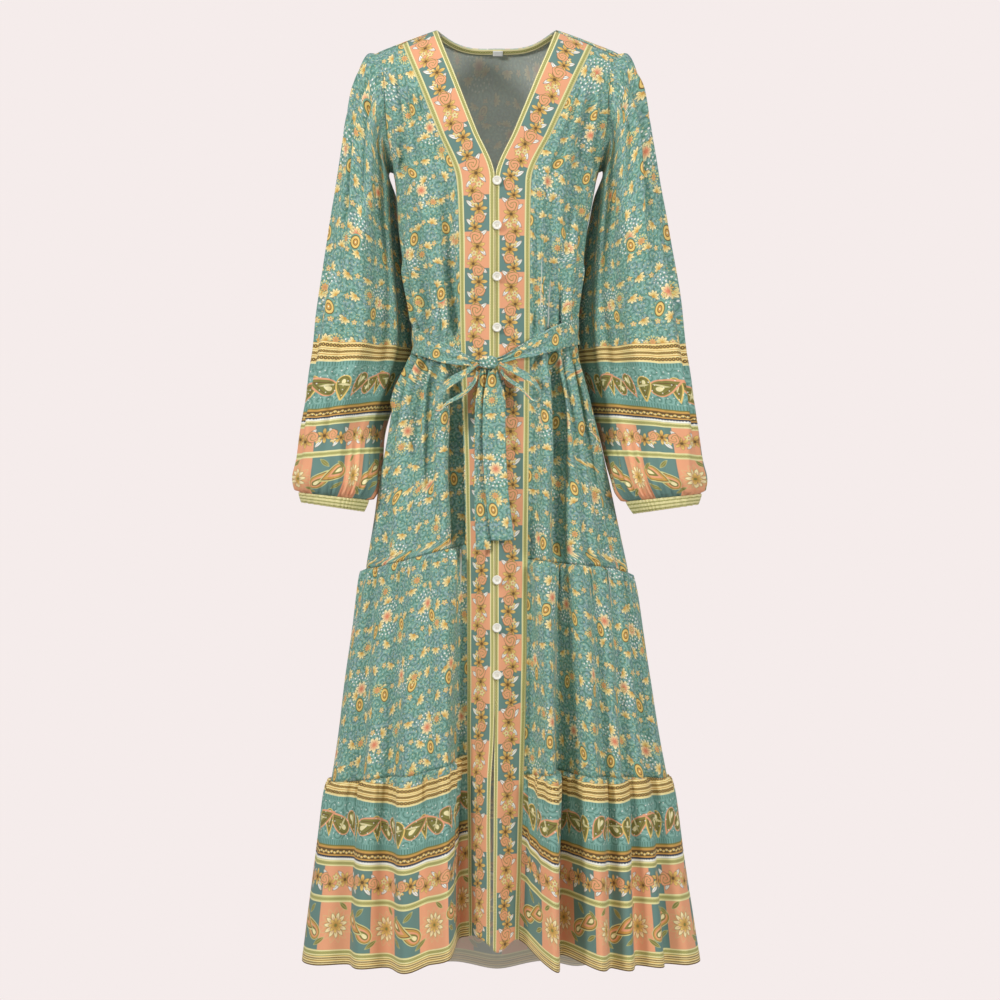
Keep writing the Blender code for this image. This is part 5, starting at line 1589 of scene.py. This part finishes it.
def make_neck():
    """The binding inside the back neck, and the label under it."""
    line, out, down = neck_line(150)
    steps = np.linspace(SEAM, BINDING_WIDTH, 9)
    grid = neck_strip(line, out, down, steps, BINDING_OFF)
    grid += np.broadcast_to(-out, grid.shape) * (0.0004 * np.sin(np.linspace(0, math.pi, 9)))[:, None, None]
    facing_out = np.broadcast_to(out, grid.shape)
    length = run_length(line[None], 1)[0]
    uv = np.stack(np.broadcast_arrays(length[None], steps[:, None] * 0.62), -1)
    obj = shell("neck_binding", grid, facing_out, uv, TRIM, TRIM)
    settle(obj, "neck_binding")
    across = np.linspace(*LABEL["across"], 12)
    line, out, down = (
        np.stack([np.interp(across, line[:, 0], values[:, i]) for i in range(3)], -1)
        for values in (line, out, down)
    )
    out, down = unit(out), unit(down)
    steps = np.linspace(*LABEL["below"], 6)
    grid = neck_strip(line, out, down, steps, LABEL_OFF)
    uv = np.stack(np.broadcast_arrays(across[None], steps[:, None]), -1)
    facing_out, thick = np.broadcast_to(out, grid.shape), np.full(grid.shape[:2], LABEL_THICK)
    obj = shell("neck_label", grid, facing_out, uv, LABEL_CLOTH, LABEL_CLOTH, thick)
    settle(obj, "neck_label")


def make_belt():
    """The belt round the waist, drawn narrow and creased towards the knot."""
    turn = np.linspace(-math.pi, math.pi, 300, endpoint=False)
    ahead = np.cos(turn)
    x = BELT_HALF * np.sin(turn)
    front = smooth((ahead + BELT_FRONT[0]) / BELT_FRONT[1])
    middle = column(BELT, "drop", x, "across") * front + BELT_BACK_DROP * (1 - front)
    width = column(BELT, "width", x, "across") * front + BELT_BACK_WIDTH * (1 - front)
    far = np.where(ahead > 0, BELT_OFF["front"], BELT_OFF["back"])
    off = BELT_OFF["side"] + (far - BELT_OFF["side"]) * smooth(np.abs(ahead) / BELT_AHEAD)
    rows = []
    for share in np.linspace(-0.5, 0.5, BELT_ROWS):
        drop = middle + share * width
        wide = np.where(turn < 0, column(BODY, "left", drop), column(BODY, "right", drop))
        deep = np.where(ahead > 0, column(BODY, "front", drop), column(BODY, "back", drop))
        near = np.exp(-np.abs(x + 0.01) / 0.045) * (ahead > 0)
        fold = 0.0022 * near * np.cos(share * 13 + 0.7) + 0.0007 * np.sin(share * 9 + turn * 7)
        rows.append(np.stack([(wide + off + fold) * np.sin(turn), -(deep + off + fold) * ahead, -drop], -1))
    grid = np.array(rows)
    out = tube_normals(grid)
    out *= np.sign((out * (grid - grid.mean(axis=(0, 1)))).sum())
    length = run_length(grid, 1)[BELT_ROWS // 2]
    length = np.append(length, 2 * length[-1] - length[-2])
    uv = np.stack(np.broadcast_arrays(length[None], np.linspace(0, BELT_BACK_WIDTH, BELT_ROWS)[:, None]), -1)
    obj = shell("belt_wrap", grid, out, uv, PRINT, PRINT, tube=True)
    settle(obj, "belt_wrap")


def make_loop(side):
    """One loop of the bow, as a strip that goes out from the knot and back to it."""
    table = LOOPS[side]
    at = np.linspace(0, len(table["x"]) - 1, STRIP_ROWS)
    order = range(len(table["x"]))
    x, z = (curve(order, metres(table[name]), at) for name in ("x", "z"))
    share = curve(order, table["share"], at)
    bulge = np.sin(at / at[-1] * math.pi)
    rim = np.stack([x, LOOP_Y[0] + LOOP_Y[1] * bulge, z], -1)
    span = np.outer(share, (table["lean"] * MM, LOOP_WIDTH[0], LOOP_WIDTH[1]))
    f = np.linspace(0, 1, 13)
    grid = rim[:, None] + span[:, None] * f[:, None]
    out = unit(np.cross(np.gradient(rim, axis=0), span))
    out *= np.sign(out[10, 2])
    pinch = np.exp(-np.minimum(at, at[-1] - at) / 2.2)
    wave = 0.0016 * pinch[:, None] * np.cos(f * 11 + 0.6) + 0.0012 * np.sin(f * math.pi)
    grid = grid + out[:, None] * wave[..., None]
    length = run_length(rim[None], 1)[0]
    uv = np.stack(np.broadcast_arrays(f[None] * 0.036, length[:, None] + 0.05), -1)
    facing_out = np.broadcast_to(out[:, None], grid.shape)
    obj = shell(f"belt_loop_{side}", grid, facing_out, uv, PRINT, PRINT)
    settle(obj, f"belt_loop_{side}")


def make_tail(name):
    """One hanging end of the belt, creased under the knot."""
    table = TAILS[name]
    drop = np.linspace(table["drop"][0], table["drop"][-1], STRIP_ROWS) * MM
    deep = column(BODY, "front", drop)
    edges = []
    for side in ("left", "right"):
        x = column(table, side + "_x", drop)
        edges.append(np.stack([x, -deep - column(table, side + "_off", drop), -drop], -1))
    left, right = edges
    f = np.linspace(0, 1, TAIL_COLUMNS)
    grid = left[:, None] + (right - left)[:, None] * f[:, None]
    out = unit(np.cross(right - left, np.gradient(left, axis=0)))
    out *= -np.sign(out[0, 1])
    down = (drop - drop[0])[:, None]
    wave = 0.0020 * np.exp(-down / 0.05) * np.cos(f * 14 + 0.5) + 0.0011 * np.sin(f * 5 + down * 16)
    grid = grid + out[:, None] * (wave - 0.0006)[..., None]
    width = np.linalg.norm(right - left, axis=-1)
    uv = np.stack([f[None] * width[:, None] + 0.004, np.broadcast_to(down + 0.01, grid.shape[:2])], -1)
    facing_out = np.broadcast_to(out[:, None], grid.shape)
    obj = shell(f"belt_tail_{name}", grid, facing_out, uv, PRINT, PRINT)
    settle(obj, f"belt_tail_{name}")


def make_knot():
    """A rounded block with slanting grooves for the wraps of the knot."""
    rows, columns = 49, 96
    v = np.linspace(0.001, math.pi - 0.001, rows)[:, None]
    u = np.linspace(0, 2 * math.pi, columns, endpoint=False)[None]
    sx, sy, sz = np.array(KNOT_SIZE) / 2

    def power(value, size):
        return np.sign(value) * np.abs(value) ** size

    x = power(np.sin(v), 0.7) * power(np.cos(u), 0.75)
    y = power(np.sin(v), 0.7) * power(np.sin(u), 0.75)
    z = power(np.cos(v), 0.75) * np.ones_like(u)
    across = x * 0.9 + z * 0.45
    groove = 0.0009 * np.cos(across * 9.5 + 0.8 * np.sin(z * 3)) + 0.0004 * np.cos(z * 16 + x * 3)
    grid = np.stack([x * sx, y * sy, z * sz], -1)
    out = unit(grid / np.array([sx, sy, sz]) ** 2)
    grid = grid + out * (groove * np.sin(v) - 0.0004)[..., None] + np.array(KNOT_CENTRE)
    mesh = bpy.data.meshes.new("belt_knot")
    r, c = np.meshgrid(np.arange(rows - 1), np.arange(columns), indexing="ij")
    right = (c + 1) % columns
    quads = cell_corners(r, c, right, columns)[:, [0, 3, 2, 1]]
    caps = [tuple(range(columns)), tuple(range(rows * columns - 1, (rows - 1) * columns - 1, -1))]
    mesh.from_pydata(grid.reshape(-1, 3).tolist(), [], quads.tolist() + caps)
    mesh.materials.append(PRINT)
    layer = mesh.uv_layers.new(name="UVMap")
    points = grid.reshape(-1, 3)
    index = np.zeros(len(mesh.loops), np.int32)
    mesh.loops.foreach_get("vertex_index", index)
    layer.data.foreach_set("uv", (points[index][:, [0, 2]] * (1.1, 1.0)).astype(np.float32).ravel())
    for polygon in mesh.polygons:
        polygon.use_smooth = True
    mesh.update()
    settle(add_object("belt_knot_cloth", mesh), "belt_knot")


BUTTON_PROFILE = (
    # mm from the middle and mm above the back, from the middle of the face round to the back
    (0, 1.35), (3.4, 1.35), (4.1, 1.75), (4.8, 2.3), (5.6, 2.4), (6.2, 2.1), (6.5, 1.5), (6.4, 0.8),
    (5.4, 0.1), (0, 0),
)
BUTTON_TURNS = 40
# Metres: where the two stitches lie on the face, half their width and length, and their heights.
STITCHES = ((-0.00115, 0.0), (0.00115, 0.0))
STITCH_HALF = (0.00045, 0.0019)
STITCH_HEIGHTS = (0.0010, 0.0020)
BOX_FACES = ((0, 1, 3, 2), (4, 6, 7, 5), (0, 4, 5, 1), (2, 3, 7, 6), (0, 2, 6, 4), (1, 5, 7, 3))
ACROSS = np.array([1.0, 0, 0])


def stitch_box(x, y):
    wide, long = STITCH_HALF
    return np.array([(x + a * wide, y + b * long, c - BUTTON_THICK / 2)
                     for a in (-1, 1) for b in (-1, 1) for c in STITCH_HEIGHTS])


def button_axes(drop):
    """The directions up and out of the left band at a drop down its inner edge."""
    reach = float(np.ravel(reach_at("left", np.array(2.0), np.array(drop)))[0])
    above, below = (surface("left", 2.0, reach + step) for step in (-0.004, 0.004))
    out = unit(np.cross(unit(below - above), ACROSS))
    out *= -np.sign(out[1])
    return np.cross(out, ACROSS), out


def make_button(number, drop):
    """A turned disc with a hollow face and two stitches, in the middle of its solid's box."""
    name = f"button_{number:02d}"
    low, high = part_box(name)
    centre = (np.array(low) + np.array(high)) / 2
    turn, rings = np.linspace(0, 2 * math.pi, BUTTON_TURNS, endpoint=False), len(BUTTON_PROFILE)
    circles = [(r * MM * np.cos(turn), r * MM * np.sin(turn), np.full_like(turn, z * MM - BUTTON_THICK / 2))
               for r, z in BUTTON_PROFILE]
    verts = np.array(circles).transpose(0, 2, 1).reshape(-1, 3)
    k, c = np.meshgrid(np.arange(rings - 1), np.arange(BUTTON_TURNS), indexing="ij")
    faces = cell_corners(k, c, (c + 1) % BUTTON_TURNS, BUTTON_TURNS)[:, [0, 3, 2, 1]].tolist()
    mats = [0] * len(faces)
    for i, spot in enumerate(STITCHES):
        first = rings * BUTTON_TURNS + 8 * i
        faces += [[first + q for q in quad] for quad in BOX_FACES]
        mats += [1] * len(BOX_FACES)
        verts = np.concatenate([verts, stitch_box(*spot)])
    up, out = button_axes(drop)
    points = verts[:, :1] * ACROSS + verts[:, 1:2] * up + verts[:, 2:] * out + centre
    mesh = bpy.data.meshes.new(name)
    mesh.from_pydata(points.tolist(), [], faces)
    mesh.materials.append(BUTTON)
    mesh.materials.append(THREAD)
    mesh.polygons.foreach_set("material_index", mats)
    mesh.update()
    made = bmesh.new()
    made.from_mesh(mesh)
    bmesh.ops.remove_doubles(made, verts=made.verts, dist=1e-6)
    bmesh.ops.recalc_face_normals(made, faces=made.faces)
    for face in made.faces:
        face.smooth = face.material_index == 0
    made.to_mesh(mesh)
    made.free()
    obj = add_object(name + "_shell", mesh)
    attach(obj, "root")
    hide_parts(name)


# ---- the dress ----

for part in ("left", "right"):
    make_upper(part, f"front_{part}_upper")
    for tier in ("tier_1", "tier_2"):
        make_tier(part, tier, f"{tier}_front_{part}")
    make_band(part, f"band_{part}")
    make_sleeve(part)
    make_loop(part)
make_upper("back", "back_upper")
for tier in ("tier_1", "tier_2"):
    make_tier("back", tier, f"{tier}_back")
make_neck()
make_belt()
make_knot()
make_tail("front")
make_tail("back")
for number, drop in enumerate(BUTTON_DROPS, start=1):
    make_button(number, drop * MM)


# ---- studio ----

BACKDROP = linear(245, 236, 235)
WORLD_LIGHT = 0.3
WORLD_TINT = (1.0, 0.99, 0.98, 1.0)
FLOOR_RADIUS = 0.85
FLOOR_DROP = -1.62
CAMERA_PLACE = (0.0043, -3.0, -0.648)
LIGHTS = (
    # name, place and target in metres, size in metres, power in watts
    ("key", (-2.3, -2.2, 0.9), (0.0, 0.0, -0.6), 0.8, 66),
    ("fill", (2.3, -2.2, 0.3), (0.0, 0.0, -0.7), 0.8, 44),
    ("top", (0.0, -1.3, 1.5), (0.0, 0.0, -0.1), 0.8, 9),
    ("back", (0.6, 2.6, 0.8), (0.0, 0.0, -0.6), 1.5, 26),
)


def area_light(name, place, target, size, power):
    data = bpy.data.lights.new(name, "AREA")
    data.shape, data.size, data.energy = "DISK", size, power
    obj = add_object(name, data)
    obj.location = place
    obj.rotation_euler = (Vector(target) - Vector(place)).to_track_quat("-Z", "Y").to_euler()


def world_light():
    """A pale backdrop for the camera, and a soft white light for the cloth."""
    world = bpy.data.worlds.new("studio")
    bpy.context.scene.world = world
    world.use_nodes = True
    tree = world.node_tree
    shown = tree.nodes["Background"]
    shown.inputs[0].default_value = BACKDROP
    lit = tree.nodes.new("ShaderNodeBackground")
    lit.inputs[0].default_value = WORLD_TINT
    lit.inputs[1].default_value = WORLD_LIGHT
    path = tree.nodes.new("ShaderNodeLightPath")
    mix = tree.nodes.new("ShaderNodeMixShader")
    tree.links.new(path.outputs["Is Camera Ray"], mix.inputs[0])
    tree.links.new(lit.outputs[0], mix.inputs[1])
    tree.links.new(shown.outputs[0], mix.inputs[2])
    tree.links.new(mix.outputs[0], tree.nodes["World Output"].inputs[0])


def studio():
    scene = bpy.context.scene
    scene.view_settings.view_transform = "Standard"
    world_light()
    bpy.ops.mesh.primitive_circle_add(vertices=96, radius=FLOOR_RADIUS, fill_type="NGON",
                                      location=(0.0, 0.0, FLOOR_DROP))
    floor = bpy.context.object
    floor.name = "floor"
    floor.data.materials.append(plain_material("floor_pale", BACKDROP, rough=0.9))
    for light in LIGHTS:
        area_light(*light)
    camera = bpy.data.cameras.new("camera")
    camera.lens, camera.sensor_width = 50.0, 24.0
    obj = add_object("camera", camera)
    obj.location = CAMERA_PLACE
    obj.rotation_euler = (math.pi / 2, 0.0, 0.0)
    scene.camera = obj


studio()
